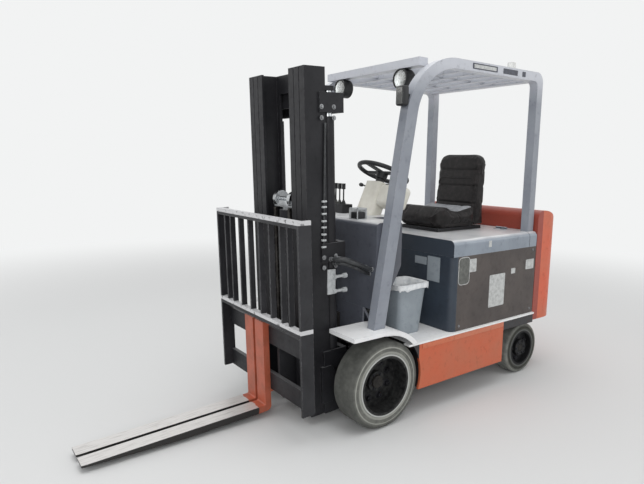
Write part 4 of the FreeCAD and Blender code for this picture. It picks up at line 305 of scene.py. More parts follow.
metals = {
    # Forged alloy steel ground bright by pallets: long fine streaks down the blade and a broad soft sheen.
    "forgedSteelRubbedBright": {"colour": "#DAD8D6", "mark": "#8F8B87", "rough": 0.36, "metal": 0.75,
                                "along": "y", "streak": 3.0, "bump": 0.12},
    # Hard chrome plate over ground rod: sharp reflections with a thin oil film.
    "hardChromePlate": {"colour": "#D6D9DB", "mark": "#A8AAAC", "rough": 0.14, "metal": 1.0,
                        "along": "z", "streak": 1.5, "bump": 0.02},
    # Rolled steel with its mill skin worn to grey: dull, blotched, with a little oil.
    "rolledSteelMillSkin": {"colour": "#6A6A6C", "mark": "#3A3938", "rough": 0.48, "metal": 0.7,
                            "along": "z", "streak": 6.0, "bump": 0.15},
    # Sand-cast iron, painted thin and dirty: coarse grain and almost no shine.
    "sandCastIron": {"colour": "#34322F", "mark": "#221F1D", "rough": 0.72, "metal": 0.25,
                     "along": "none", "streak": 9.0, "bump": 0.5},
    # Zinc plated fasteners: pale grey with a faint bloom.
    "zincPlatedSteel": {"colour": "#A9ABAD", "mark": "#77787A", "rough": 0.38, "metal": 0.9,
                        "along": "none", "streak": 4.0, "bump": 0.08},
    # Wheel nuts, phosphated and oiled: nearly black, worn grey on their corners.
    "phosphatedNutSteel": {"colour": "#34343A", "mark": "#161618", "rough": 0.50, "metal": 0.6,
                           "along": "none", "streak": 5.0, "bump": 0.12},
    # Leaf chain, oiled plates: dark brown grey with bright pin ends.
    "oiledLeafChain": {"colour": "#5D5A57", "mark": "#2B2826", "rough": 0.40, "metal": 0.8,
                       "along": "none", "streak": 7.0, "bump": 0.2},
}


def metalMaterial(name, spec):
    made, tree = startMaterial(name)
    where = addNode(tree, "TexCoord").outputs["Object"]
    squeeze = {"x": (0.04, 1, 1), "y": (1, 0.04, 1), "z": (1, 1, 0.04), "none": (1, 1, 1)}[spec["along"]]
    drawn = addNode(tree, "Mapping", {"Vector": where, "Scale": squeeze})
    streaks = addNode(tree, "TexNoise", {"Vector": drawn.outputs["Vector"], "Scale": perMetre(spec["streak"]),
                                         "Detail": 5.0, "Roughness": 0.6})
    blotch = addNode(tree, "TexNoise", {"Vector": where, "Scale": perMetre(70), "Detail": 5.0})
    both = addNode(tree, "Math", {0: streaks.outputs["Fac"], 1: blotch.outputs["Fac"]}, operation="MULTIPLY")
    share = addNode(tree, "MapRange", {"Value": both.outputs[0], "From Min": 0.18, "From Max": 0.36})
    colour = addNode(tree, "Mix", {"Factor": share.outputs["Result"], 6: hexToLinear(spec["mark"]),
                                   7: hexToLinear(spec["colour"])}, data_type="RGBA")
    rough = addNode(tree, "MapRange", {"Value": both.outputs[0], "From Min": 0.15, "From Max": 0.4,
                                       "To Min": spec["rough"] + 0.12, "To Max": spec["rough"]})
    bump = addNode(tree, "Bump", {"Height": streaks.outputs["Fac"], "Strength": spec["bump"], "Distance": 0.001,
                                  "Normal": softEdge(tree, 1.5)})
    finishMaterial(tree, {"Base Color": colour.outputs[2], "Metallic": spec["metal"],
                          "Roughness": rough.outputs["Result"], "Normal": bump.outputs["Normal"]})
    return made


mouldings = {
    # Injection moulded ABS with a spark-eroded grain: even satin black.
    "mouldedBlackPlastic": {"colour": "#1D1E20", "second": "#292A2C", "rough": 0.50, "grain": 1.6, "bump": 0.18,
                            "patch": 60, "edge": 1.0},
    # Ribbed rubber matting, pressed: soft matt black gone grey with dust.
    "pressedRubberMat": {"colour": "#3B3C3C", "second": "#6E6E6B", "rough": 0.88, "grain": 2.0, "bump": 0.25,
                         "patch": 55, "edge": 0.8},
    # Braided hose under smooth nitrile cover: near black with a low shine.
    "nitrileHoseCover": {"colour": "#2A2B2D", "second": "#4A4C4E", "rough": 0.42, "grain": 2.0, "bump": 0.12,
                         "patch": 40, "edge": 0.8},
    # Adhesive vinyl film, blank: pale, thin, its rim lifted and greyed.
    "blankVinylFilm": {"colour": "#C9CBCA", "second": "#A7A9A8", "rough": 0.42, "grain": 4.0, "bump": 0.05,
                       "patch": 24, "edge": 0.5},
    # Column cover, moulded ABS: smooth, soft sheen, grubby in its hollows; its near-white cream is partly a painted
    # highlight over light grey plastic.
    "mouldedCreamPlastic": {"colour": "#E0DED4", "second": "#D2CFC4", "rough": 0.42, "grain": 3.0, "bump": 0.05,
                            "patch": 70, "edge": 4.0},
    # Dark vinyl film, blank: blue black with a low shine.
    "blankDarkFilm": {"colour": "#343743", "second": "#4A4E5B", "rough": 0.40, "grain": 4.0, "bump": 0.05,
                      "patch": 30, "edge": 0.5},
    # Clear document pocket welded flat: the panel shows through it as greenish grey, with a soft shine.
    "weldedClearPocket": {"colour": "#595A57", "second": "#6E706B", "rough": 0.22, "grain": 6.0, "bump": 0.10,
                          "patch": 30, "edge": 2.0},
    # Thin polythene bag liner, pulled over a rim: milky white, crumpled in small folds.
    "crumpledPolytheneLiner": {"colour": "#E6E8E9", "second": "#C3C8CC", "rough": 0.30, "grain": 16.0,
                               "bump": 0.9, "patch": 40, "edge": 1.5},
    # Nylon cable clips and caps, moulded pale grey.
    "mouldedPaleNylon": {"colour": "#C4C7C8", "second": "#A9ACAE", "rough": 0.45, "grain": 2.0, "bump": 0.08,
                         "patch": 20, "edge": 0.8},
}


def mouldedMaterial(name, spec):
    made, tree = startMaterial(name)
    where = addNode(tree, "TexCoord").outputs["Object"]
    patches = addNode(tree, "TexNoise", {"Vector": where, "Scale": perMetre(spec["patch"]), "Detail": 6.0,
                                         "Roughness": 0.6})
    share = addNode(tree, "MapRange", {"Value": patches.outputs["Fac"], "From Min": 0.42, "From Max": 0.70})
    colour = addNode(tree, "Mix", {"Factor": share.outputs["Result"], 6: hexToLinear(spec["colour"]),
                                   7: hexToLinear(spec["second"])}, data_type="RGBA")
    grain = addNode(tree, "TexNoise", {"Vector": where, "Scale": perMetre(spec["grain"]), "Detail": 3.0})
    bump = addNode(tree, "Bump", {"Height": grain.outputs["Fac"], "Strength": spec["bump"], "Distance": 0.001,
                                  "Normal": softEdge(tree, spec["edge"])})
    rough = addNode(tree, "MapRange", {"Value": patches.outputs["Fac"], "From Min": 0.3, "From Max": 0.7,
                                       "To Min": spec["rough"] - 0.06, "To Max": spec["rough"] + 0.06})
    finishMaterial(tree, {"Base Color": colour.outputs[2], "Roughness": rough.outputs["Result"],
                          "Normal": bump.outputs["Normal"], "Specular IOR Level": spec.get("shine", 0.4)})
    return made


vinyl = {
    # Seat vinyl, calendered with a leather grain: cells of about 1.5 mm drawn at 3 mm so that they show.
    "grainedSeatVinyl": {"colour": "#1B1919", "worn": "#2C2828", "rough": 0.46, "cell": 3.0},
    # The same vinyl in grey on the sitting area, rubbed pale and dusty.
    "grainedSideVinyl": {"colour": "#8B8D91", "worn": "#A3A5A8", "rough": 0.50, "cell": 3.0},
}


def vinylMaterial(name, spec):
    made, tree = startMaterial(name)
    where = addNode(tree, "TexCoord").outputs["Object"]
    cells = addNode(tree, "TexVoronoi", {"Vector": where, "Scale": perMetre(spec["cell"]), "Randomness": 0.9},
                    feature="DISTANCE_TO_EDGE")
    creases = addNode(tree, "TexNoise", {"Vector": where, "Scale": perMetre(30), "Detail": 6.0, "Roughness": 0.6})
    share = addNode(tree, "MapRange", {"Value": creases.outputs["Fac"], "From Min": 0.45, "From Max": 0.7})
    colour = addNode(tree, "Mix", {"Factor": share.outputs["Result"], 6: hexToLinear(spec["colour"]),
                                   7: hexToLinear(spec["worn"])}, data_type="RGBA")
    height = addNode(tree, "MapRange", {"Value": cells.outputs["Distance"], "From Max": 0.25})
    fine = addNode(tree, "Bump", {"Height": height.outputs["Result"], "Strength": 0.18, "Distance": 0.0006})
    bump = addNode(tree, "Bump", {"Height": creases.outputs["Fac"], "Strength": 0.25, "Distance": 0.004,
                                  "Normal": fine.outputs["Normal"]})
    finishMaterial(tree, {"Base Color": colour.outputs[2], "Roughness": spec["rough"],
                          "Normal": bump.outputs["Normal"], "Specular IOR Level": 0.22})
    return made


wheelFaces = {
    # Pressed and welded wheel, sprayed black: the bore is dark, its outer band rubbed pale and dusty.
    "sprayedDriveWheel": {"centre": (0.0, 266.7), "band": 182.0, "dark": "#0C0C0E", "pale": "#B9BBB8"},
    # the steer wheel's band is painted a far darker grey than the drive wheel's, as painted shade
    "sprayedSteerWheel": {"centre": (1450.0, 190.5), "band": 134.0, "dark": "#141416", "pale": "#5E605E"},
}


def wheelMaterial(name, spec):
    made, tree = startMaterial(name)
    where = addNode(tree, "TexCoord").outputs["Object"]
    middle = place(0, *spec["centre"])
    away = addNode(tree, "VectorMath", {0: where, 1: middle}, operation="SUBTRACT")
    flat = addNode(tree, "VectorMath", {0: away.outputs["Vector"], 1: (0, 1, 1)}, operation="MULTIPLY")
    radius = addNode(tree, "VectorMath", {0: flat.outputs["Vector"]}, operation="LENGTH")
    grime = addNode(tree, "TexNoise", {"Vector": where, "Scale": perMetre(30), "Detail": 6.0, "Roughness": 0.65})
    band = addNode(tree, "MapRange", {"Value": radius.outputs["Value"], "From Min": (spec["band"] - 2) / 1000,
                                      "From Max": (spec["band"] + 1) / 1000})
    dust = addNode(tree, "MapRange", {"Value": grime.outputs["Fac"], "From Min": 0.35, "From Max": 0.75,
                                      "To Min": 0.0, "To Max": 0.10})
    either = addNode(tree, "Math", {0: band.outputs["Result"], 1: dust.outputs["Result"]}, operation="MAXIMUM")
    colour = addNode(tree, "Mix", {"Factor": either.outputs[0], 6: hexToLinear(spec["dark"]),
                                   7: hexToLinear(spec["pale"])}, data_type="RGBA")
    bump = addNode(tree, "Bump", {"Height": grime.outputs["Fac"], "Strength": 0.1, "Distance": 0.001,
                                  "Normal": softEdge(tree, 2.0)})
    finishMaterial(tree, {"Base Color": colour.outputs[2], "Roughness": 0.55, "Metallic": 0.1,
                          "Normal": bump.outputs["Normal"], "Specular IOR Level": 0.25})
    return made


clears = {
    # Pressed glass lamp lens: clear with a fluted back that breaks up the light.
    "pressedLensGlass": {"colour": "#F4F5F2", "rough": 0.08, "ior": 1.5, "clear": 0.85, "flute": 4.0},
    # Moulded milky polycarbonate over the warning lamp.
    "mouldedClearLens": {"colour": "#F2F3F0", "rough": 0.22, "ior": 1.58, "clear": 0.25, "flute": 3.0},
}


def clearMaterial(name, spec):
    made, tree = startMaterial(name)
    where = addNode(tree, "TexCoord").outputs["Object"]
    flutes = addNode(tree, "TexWave", {"Vector": where, "Scale": perMetre(spec["flute"]) / 6.28, "Distortion": 0.2},
                     bands_direction="X")
    bump = addNode(tree, "Bump", {"Height": flutes.outputs["Fac"], "Strength": 0.25, "Distance": 0.001})
    finishMaterial(tree, {"Base Color": hexToLinear(spec["colour"]), "Roughness": spec["rough"],
                          "IOR": spec["ior"], "Transmission Weight": spec["clear"],
                          "Normal": bump.outputs["Normal"]})
    return made


# Forged forks: orange enamel on shank and heel, top ground bright by pallets, the blade's sides and underside near
# black as painted shade.
forkFinish = {"orange": "#B25B42", "faded": "#9F543C", "bright": "#D9D7D5", "marked": "#B4B1AE", "scale": "#1D1B1A",
              "heelY": -560}


def forkMaterial(name):
    made, tree = startMaterial(name)
    where = addNode(tree, "TexCoord").outputs["Object"]
    parts = addNode(tree, "SeparateXYZ", {"Vector": where})
    facing = addNode(tree, "SeparateXYZ", {"Vector": addNode(tree, "NewGeometry").outputs["Normal"]})
    drawn = addNode(tree, "Mapping", {"Vector": where, "Scale": (1, 0.05, 1)})
    streaks = addNode(tree, "TexNoise", {"Vector": drawn.outputs["Vector"], "Scale": perMetre(5), "Detail": 4.0})
    patches = addNode(tree, "TexNoise", {"Vector": where, "Scale": perMetre(60), "Detail": 5.0})
    marks = addNode(tree, "MapRange", {"Value": streaks.outputs["Fac"], "From Min": 0.5, "From Max": 0.75})
    bright = addNode(tree, "Mix", {"Factor": marks.outputs["Result"], 6: hexToLinear(forkFinish["bright"]),
                                   7: hexToLinear(forkFinish["marked"])}, data_type="RGBA")
    # painted shade: blade faces that don't look up take the near-black colour
    up = addNode(tree, "Math", {0: facing.outputs["Z"], 1: 0.7}, operation="GREATER_THAN")
    blade = addNode(tree, "Mix", {"Factor": up.outputs[0], 6: hexToLinear(forkFinish["scale"]),
                                  7: bright.outputs[2]}, data_type="RGBA")
    fade = addNode(tree, "MapRange", {"Value": patches.outputs["Fac"], "From Min": 0.4, "From Max": 0.65})
    enamel = addNode(tree, "Mix", {"Factor": fade.outputs["Result"], 6: hexToLinear(forkFinish["orange"]),
                                   7: hexToLinear(forkFinish["faded"])}, data_type="RGBA")
    ragged = addNode(tree, "Math", {0: patches.outputs["Fac"], 1: 0.06, 2: parts.outputs["Y"]},
                     operation="MULTIPLY_ADD")
    heel = addNode(tree, "Math", {0: ragged.outputs[0], 1: place(0, forkFinish["heelY"], 0).y + 0.03},
                   operation="GREATER_THAN")
    painted = addNode(tree, "Mix", {"Factor": heel.outputs[0], 6: blade.outputs[2], 7: enamel.outputs[2]},
                      data_type="RGBA")
    bare = addNode(tree, "Math", {0: up.outputs[0], 1: heel.outputs[0]}, operation="SUBTRACT", use_clamp=True)
    shine = addNode(tree, "Math", {0: bare.outputs[0], 1: 0.55}, operation="MULTIPLY")
    rough = addNode(tree, "MapRange", {"Value": streaks.outputs["Fac"], "From Min": 0.3, "From Max": 0.7,
                                       "To Min": 0.34, "To Max": 0.52})
    bump = addNode(tree, "Bump", {"Height": streaks.outputs["Fac"], "Strength": 0.15, "Distance": 0.001,
                                  "Normal": softEdge(tree, 2.0)})
    finishMaterial(tree, {"Base Color": painted.outputs[2], "Metallic": shine.outputs[0],
                          "Roughness": rough.outputs["Result"], "Normal": bump.outputs["Normal"]})
    return made


finishes = {"forkEnamelAndBrightBlade": forkMaterial("forkEnamelAndBrightBlade")}
for makeOne, group in ((paintMaterial, paints), (metalMaterial, metals), (mouldedMaterial, mouldings),
                       (vinylMaterial, vinyl), (wheelMaterial, wheelFaces), (clearMaterial, clears)):
    for finishName, finishSpec in group.items():
        finishes[finishName] = makeOne(finishName, finishSpec)
print("stage: materials,", len(finishes))

# which finish each node of the frame wears
nodeFinish = {
    "sprayedOrangeEnamel": ["chassis_frame"],
    "enamelOverCastIron": ["counterweight"],
    "forkEnamelAndBrightBlade": ["fork_left", "fork_right"],
    "forgedSteelRubbedBright": ["tow_pin"],
    "powderCoatSlateGrey": ["guard_frames", "guard_roof"],
    "powderCoatHoodGrey": ["hood", "rear_deck"],
    "powderCoatDashGrey": ["cowl", "toe_plate"],
    "mouldedCreamPlastic": ["column_cover"],
    "powderCoatPaleGrey": ["front_fenders", "floor_plate"],
    "powderCoatSillWhite": ["sill_strips"],
    "powderCoatBoxGrey": ["footwell_box"],
    "brushedBulkheadPaint": ["bulkhead", "battery"],
    "stoveEnamelBrown": ["battery_side_panels"],
    "blackPaintRolledSteel": ["mast_outer", "mast_middle", "mast_inner", "lift_barrels", "free_lift_barrel",
                              "carriage", "drive_motor", "tilt_barrel_left", "tilt_barrel_right", "seat_base"],
    "blackPaintLoadGuard": ["load_backrest"],
    "hardChromePlate": ["lift_rods", "free_lift_rod", "tilt_rod_left", "tilt_rod_right", "steer_rod"],
    "sandCastIron": ["drive_axle", "steer_axle", "steer_mounts", "steer_knuckle_left", "steer_knuckle_right",
                     "valve_bank"],
    "oiledLeafChain": ["lift_chains"],
    "sprayedDriveWheel": ["drive_rim_left", "drive_rim_right"],
    "sprayedSteerWheel": ["steer_rim_left", "steer_rim_right"],
    "mouldedBlackPlastic": ["steering_column", "steering_wheel", "lever_console", "pedals", "work_lamps"],
    "mouldedClearLens": ["warning_lamp"],
    "grainedSeatVinyl": ["seat_cushion", "seat_back"],
}


def dressNodes():
    left = set(nodes)
    for finish, names in nodeFinish.items():
        for name in names:
            obj = nodes[name]
            if not obj.material_slots:
                obj.data.materials.append(finishes[finish])
            for held in obj.material_slots:
                held.material = finishes[finish]
            left.discard(name)
    print("stage: nodes dressed, without a finish:", sorted(left))


dressNodes()


# shapes are drawn with bmesh in the row frame, then each becomes a piece that rides on its body
def makePiece(name, bm, body, finish, leaning=False, sharp=35):
    if leaning:
        bmesh.ops.transform(bm, matrix=mastLean, verts=bm.verts)
    bmesh.ops.recalc_face_normals(bm, faces=bm.faces)
    mesh = bpy.data.meshes.new(name)
    bm.to_mesh(mesh)
    bm.free()
    mesh.materials.append(finishes[finish])
    return ridePiece(name, mesh, body, sharp)


def ridePiece(name, mesh, body, sharp=35):
    for face in mesh.polygons:
        face.use_smooth = True
    mesh.set_sharp_from_angle(angle=math.radians(sharp))
    obj = bpy.data.objects.new(name, mesh)
    bpy.context.scene.collection.objects.link(obj)
    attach(obj, body)
    return obj


def addBlock(bm, low, high, rounding=2.0, steps=2):
    low, high = place(*low), place(*high)
    size = high - low
    shape = Matrix.Translation((low + high) / 2) @ Matrix.Diagonal((*size, 1))
    made = bmesh.ops.create_cube(bm, size=1.0, matrix=shape)
    edges = {edge for vert in made["verts"] for edge in vert.link_edges}
    bmesh.ops.bevel(bm, geom=list(edges), offset=rounding / 1000, segments=steps, profile=0.5,
                    affect="EDGES", clamp_overlap=True)


# profile holds pairs of radius and distance along the axis, which starts at centre and points out
def addTurned(bm, profile, centre, out, steps=48, closed=False, scale=1.0):
    turn = Matrix.Translation(centre) @ Vector(out).to_track_quat("Z", "Y").to_matrix().to_4x4()
    rings = []
    for radius, along in profile:
        r, h = radius * scale / 1000, along * scale / 1000
        if radius == 0:
            rings.append([bm.verts.new(turn @ Vector((0, 0, h)))])
            continue
        angles = [2 * math.pi * i / steps for i in range(steps)]
        rings.append([bm.verts.new(turn @ Vector((r * math.cos(a), r * math.sin(a), h))) for a in angles])
    following = rings[1:] + (rings[:1] if closed else [])
    for one, two in zip(rings, following):
        for i in range(steps):
            j = (i + 1) % steps
            if len(one) == 1:
                bm.faces.new((one[0], two[j], two[i]))
            elif len(two) == 1:
                bm.faces.new((one[i], one[j], two[0]))
            else:
                bm.faces.new((one[i], one[j], two[j], two[i]))


def addBolt(bm, at, out, flats=18, tall=11):
    washer = [(0, -1), (flats * 0.92, -1), (flats * 0.92, 1.5), (flats * 0.85, 2), (0, 2)]
    addTurned(bm, washer, at, out, steps=20)
    head = [(0, 1.5), (flats * 0.577, 1.5), (flats * 0.577, tall - 1.5), (flats * 0.5, tall), (0, tall)]
    addTurned(bm, head, at, out, steps=6)


# a thin plate with rounded corners, its lower left corner at corner, thick towards across x up
def addPlate(bm, corner, across, up, width, height, rounding, thick):
    across, up = Vector(across), Vector(up)
    out = across.cross(up)
    ring = []
    for cx, cy, start in ((width - rounding, rounding, -90), (width - rounding, height - rounding, 0),
                          (rounding, height - rounding, 90), (rounding, rounding, 180)):
        for i in range(5):
            a = math.radians(start + 22.5 * i)
            ring.append((cx + rounding * math.cos(a), cy + rounding * math.sin(a)))
    for depth in (-0.5, thick):
        verts = [bm.verts.new(corner + (across * u + up * v + out * depth) / 1000) for u, v in ring]
        if depth < 0:
            back = verts
        else:
            bm.faces.new(verts)
    for i in range(len(ring)):
        j = (i + 1) % len(ring)
        bm.faces.new((back[i], back[j], verts[j], verts[i]))


# a smooth line through its control points, as a curve of one open spline
def splineCurve(name, points, radius):
    data = bpy.data.curves.new(name, "CURVE")
    data.dimensions = "3D"
    data.resolution_u = 12
    spline = data.splines.new("NURBS")
    spline.points.add(len(points) - 1)
    for spot, point in zip(spline.points, points):
        spot.co = (*point, 1)
    spline.order_u = 3
    spline.use_endpoint_u = True
    data.bevel_depth = radius / 1000
    data.bevel_resolution = 5
    data.use_fill_caps = True
    return data


tyres = {
    "drive": {"x": 570, "wide": 178, "y": 0, "radius": 266.7, "base": 190.5, "lines": (0.204, 0.2315),
              "wall": ("#62635F", "#7E7F79"), "tread": ("#4B4C49", "#5E5F5B"), "pale": "#B2B3AC"},
    # the steer tyre's wall is a darker copy of this rubber, painted shade, and its tread a paler one, painted highlight
    # on its lit top
    "steer": {"x": 505, "wide": 127, "y": 1450, "radius": 190.5, "base": 142.9, "lines": (0.151, 0.168),
              "wall": ("#2E2F2C", "#3C3D39"), "tread": ("#6A6B67", "#8A8B85"), "pale": "#55564F"},
    # share of the way from the bore to the tread, and how far in from the side
    "side": [(0.001, 6), (0.03, 2), (0.09, 0.6), (0.2, 0.6), (0.23, 3.2), (0.42, 3.2), (0.44, 1.2), (0.49, 1.2),
             (0.52, 3.6), (0.74, 3.6), (0.79, 5.0), (0.88, 8.5), (0.945, 13), (0.985, 19), (1.0, 28)],
}


# solid press-on rubber, cured in a mould: matt grey, dust ground in, two moulded rings on its side painted paler as
# painted highlight
def tyreMaterial(name, spec):
    made, tree = startMaterial(name)
    where = addNode(tree, "TexCoord").outputs["Object"]
    flat = addNode(tree, "VectorMath", {0: where, 1: (0, 1, 1)}, operation="MULTIPLY")
    radius = addNode(tree, "VectorMath", {0: flat.outputs["Vector"]}, operation="LENGTH").outputs["Value"]
    grime = addNode(tree, "TexNoise", {"Vector": where, "Scale": perMetre(48), "Detail": 6.0, "Roughness": 0.65})
    fine = addNode(tree, "TexNoise", {"Vector": where, "Scale": perMetre(5), "Detail": 3.0})
    share = addNode(tree, "MapRange", {"Value": grime.outputs["Fac"], "From Min": 0.38, "From Max": 0.70})
    base = addNode(tree, "Mix", {"Factor": share.outputs["Result"], 6: hexToLinear(spec["wall"][0]),
                                 7: hexToLinear(spec["wall"][1])}, data_type="RGBA")
    ground = addNode(tree, "Mix", {"Factor": share.outputs["Result"], 6: hexToLinear(spec["tread"][0]),
                                   7: hexToLinear(spec["tread"][1])}, data_type="RGBA")
    edge = spec["radius"] / 1000
    past = addNode(tree, "MapRange", {"Value": radius, "From Min": edge - 0.030, "From Max": edge - 0.016})
    base = addNode(tree, "Mix", {"Factor": past.outputs["Result"], 6: base.outputs[2],
                                 7: ground.outputs[2]}, data_type="RGBA")
    inner, line = spec["lines"]
    bead = addNode(tree, "MapRange", {"Value": radius, "From Min": inner, "From Max": inner + 0.006,
                                      "To Min": 0.55, "To Max": 0.0})
    offLine = addNode(tree, "Math", {0: radius, 1: line}, operation="SUBTRACT")
    nearLine = addNode(tree, "Math", {0: offLine.outputs[0]}, operation="ABSOLUTE")
    ring = addNode(tree, "MapRange", {"Value": nearLine.outputs[0], "From Min": 0.0015, "From Max": 0.005,
                                      "To Min": 0.65, "To Max": 0.0})
    pale = addNode(tree, "Math", {0: bead.outputs["Result"], 1: ring.outputs["Result"]}, operation="MAXIMUM")
    colour = addNode(tree, "Mix", {"Factor": pale.outputs[0], 6: base.outputs[2],
                                   7: hexToLinear(spec["pale"])}, data_type="RGBA")
    rings = addNode(tree, "Math", {0: radius, 1: 1600.0}, operation="MULTIPLY")
    ripple = addNode(tree, "Math", {0: rings.outputs[0]}, operation="SINE")
    both = addNode(tree, "Math", {0: ripple.outputs[0], 1: fine.outputs["Fac"]}, operation="MULTIPLY")
    bump = addNode(tree, "Bump", {"Height": both.outputs[0], "Strength": 0.22, "Distance": 0.001})
    finishMaterial(tree, {"Base Color": colour.outputs[2], "Roughness": 0.84, "Normal": bump.outputs["Normal"],
                          "Specular IOR Level": 0.35})
    return made


def makeTyres():
    for kind in ("drive", "steer"):
        spec = tyres[kind]
        rubber = tyreMaterial("curedSolidRubber" + kind.title(), spec)
        band = spec["radius"] - spec["base"]
        half = spec["wide"] / 2
        depth = spec["wide"] / 178
        outer = [(spec["base"] + share * band, half - inset * depth) for share, inset in tyres["side"]]
        profile = outer + [(radius, -along) for radius, along in reversed(outer)]
        for side, sign in (("left", 1), ("right", -1)):
            bm = bmesh.new()
            addTurned(bm, profile, Vector((0, 0, 0)), (sign, 0, 0), steps=96, closed=True)
            bmesh.ops.recalc_face_normals(bm, faces=bm.faces)
            mesh = bpy.data.meshes.new(f"{kind}_tyre_{side}_rubber")
            bm.to_mesh(mesh)
            bm.free()
            mesh.materials.append(rubber)
            for face in mesh.polygons:
                face.use_smooth = True
            mesh.set_sharp_from_angle(angle=math.radians(40))
            obj = bpy.data.objects.new(mesh.name, mesh)
            bpy.context.scene.collection.objects.link(obj)
            obj.location = place(sign * (spec["x"] - half), spec["y"], spec["radius"])
            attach(obj, f"{kind}_wheel_{side}")
            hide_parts(f"{kind}_tyre_{side}")


hubs = {
    # disc face from the middle, axle height, nuts, their ring, nut size
    "drive": {"face": 458, "y": 0, "z": 266.7, "nuts": 8, "ring": 112, "flats": 27, "tall": 20, "cap": 486},
    "steer": {"face": 467, "y": 1450, "z": 190.5, "nuts": 5, "ring": 84, "flats": 24, "tall": 16, "cap": 495},
}


def makeHubs():
    for kind in ("drive", "steer"):
        spec = hubs[kind]
        for side, sign in (("left", 1), ("right", -1)):
            bm = bmesh.new()
            for i in range(spec["nuts"]):
                a = 2 * math.pi * (i + 0.5) / spec["nuts"]
                at = place(sign * spec["face"], spec["y"] + spec["ring"] * math.cos(a),
                           spec["z"] + spec["ring"] * math.sin(a))
                addBolt(bm, at, (sign, 0, 0), spec["flats"], spec["tall"])
                stud = [(0, spec["tall"] - 2), (6, spec["tall"] - 2), (6, spec["tall"] + 6),
                        (5, spec["tall"] + 7), (0, spec["tall"] + 7)]
                addTurned(bm, stud, at, (sign, 0, 0), steps=12)
            for i in range(6):
                a = 2 * math.pi * i / 6
                addBolt(bm, place(sign * spec["cap"], spec["y"] + 50 * math.cos(a), spec["z"] + 50 * math.sin(a)),
                        (sign, 0, 0), 11, 7)
            makePiece(f"{kind}_wheel_nuts_{side}", bm, f"{kind}_wheel_{side}", "phosphatedNutSteel")


# blank film and plates: lower left corner, width and height as read off the photograph
labels = {
    "side": [(960, 588, 172, 228, 8), (730, 862, 80, 88, 6), (1200, 800, 48, 38, 4), (1372, 812, 98, 72, 5)],
    "pocket": (632, 785, 112, 184, 30), "pocketRim": 5,
    # pale film or dark film on the near rail of the roof
    "roof": [(712, 2158, 250, 36, 4, "blankDarkFilm", 0.7), (726, 2165, 222, 22, 3, "blankVinylFilm", 1.1),
             (1022, 2158, 158, 34, 3, "blankDarkFilm", 0.7), (1232, 2158, 38, 34, 3, "blankDarkFilm", 0.7)],
    "roofX": 514,
    "bulkhead": [(206, 892, 108, 52, 3), (322, 792, 110, 166, 3)],
    "hood": (932, 1014, 30, 42, 3),
    "sideX": 545, "hoodX": 545, "bulkheadY": 582,
}


def makeLabels():
    for side, sign in (("left", 1), ("right", -1)):
        along = Vector((0, sign, 0))
        bm = bmesh.new()
        for y, z, wide, tall, rounding in labels["side"]:
            start = y if sign > 0 else y + wide
            addPlate(bm, place(sign * labels["sideX"], start, z), along, (0, 0, 1), wide, tall, rounding, 0.7)
        y, z, wide, tall, rounding = labels["hood"]
        start = y if sign > 0 else y + wide
        addPlate(bm, place(sign * labels["hoodX"], start, z), along, (0, 0, 1), wide, tall, rounding, 0.7)
        makePiece(f"blank_labels_{side}", bm, "chassis", "blankVinylFilm")
        y, z, wide, tall, rounding = labels["pocket"]
        rim = labels["pocketRim"]
        for name, inset, thick, finish in (("rim", 0, 0.9, "blankVinylFilm"), ("sheet", rim, 1.3, "weldedClearPocket")):
            bm = bmesh.new()
            start = y + inset if sign > 0 else y + wide - inset
            addPlate(bm, place(sign * labels["sideX"], start, z + inset), along, (0, 0, 1), wide - 2 * inset,
                     tall - 2 * inset, rounding - inset, thick)
            makePiece(f"paper_pocket_{name}_{side}", bm, "chassis", finish)
    bm = bmesh.new()
    for x, z, wide, tall, rounding in labels["bulkhead"]:
        addPlate(bm, place(x, labels["bulkheadY"], z), (1, 0, 0), (0, 0, 1), wide, tall, rounding, 1.5)
    makePiece("blank_plates_front", bm, "chassis", "powderCoatBoxGrey")
    for number, (y, z, wide, tall, rounding, finish, thick) in enumerate(labels["roof"]):
        bm = bmesh.new()
        addPlate(bm, place(labels["roofX"], y, z), (0, 1, 0), (0, 0, 1), wide, tall, rounding, thick)
        makePiece(f"roof_film_{number + 1}", bm, "chassis", finish)


# bolt heads: place, outward side, size across flats
bolts = {
    "chassis": [((s * 545, y, z), (s, 0, 0), 10) for s in (1, -1) for y, z in ((660, 510), (1450, 510), (1450, 950))],
    "mast": [((s * 316, y, z), (s, 0, 0), 15) for s in (1, -1) for z in (1030, 970, 1880, 1820)
             for y in (-250, -165)],
}


def makeBolts():
    for body, places in bolts.items():
        bm = bmesh.new()
        for at, out, flats in places:
            addBolt(bm, place(*at), out, flats, flats * 0.6)
        makePiece(f"bolt_heads_{body}", bm, body, "zincPlatedSteel", leaning=body != "chassis")


trim = {
    "skirtBand": {"y": (312, 1132), "z": (428, 463), "thick": 3},
    "mat": {"x": (-300, 205), "y": (225, 560), "thick": 5, "rib": 5, "pitch": 16},
    "pedalRibs": {"x": (-16, 128), "y": (200, 310), "z": 567, "pitch": 14},
}


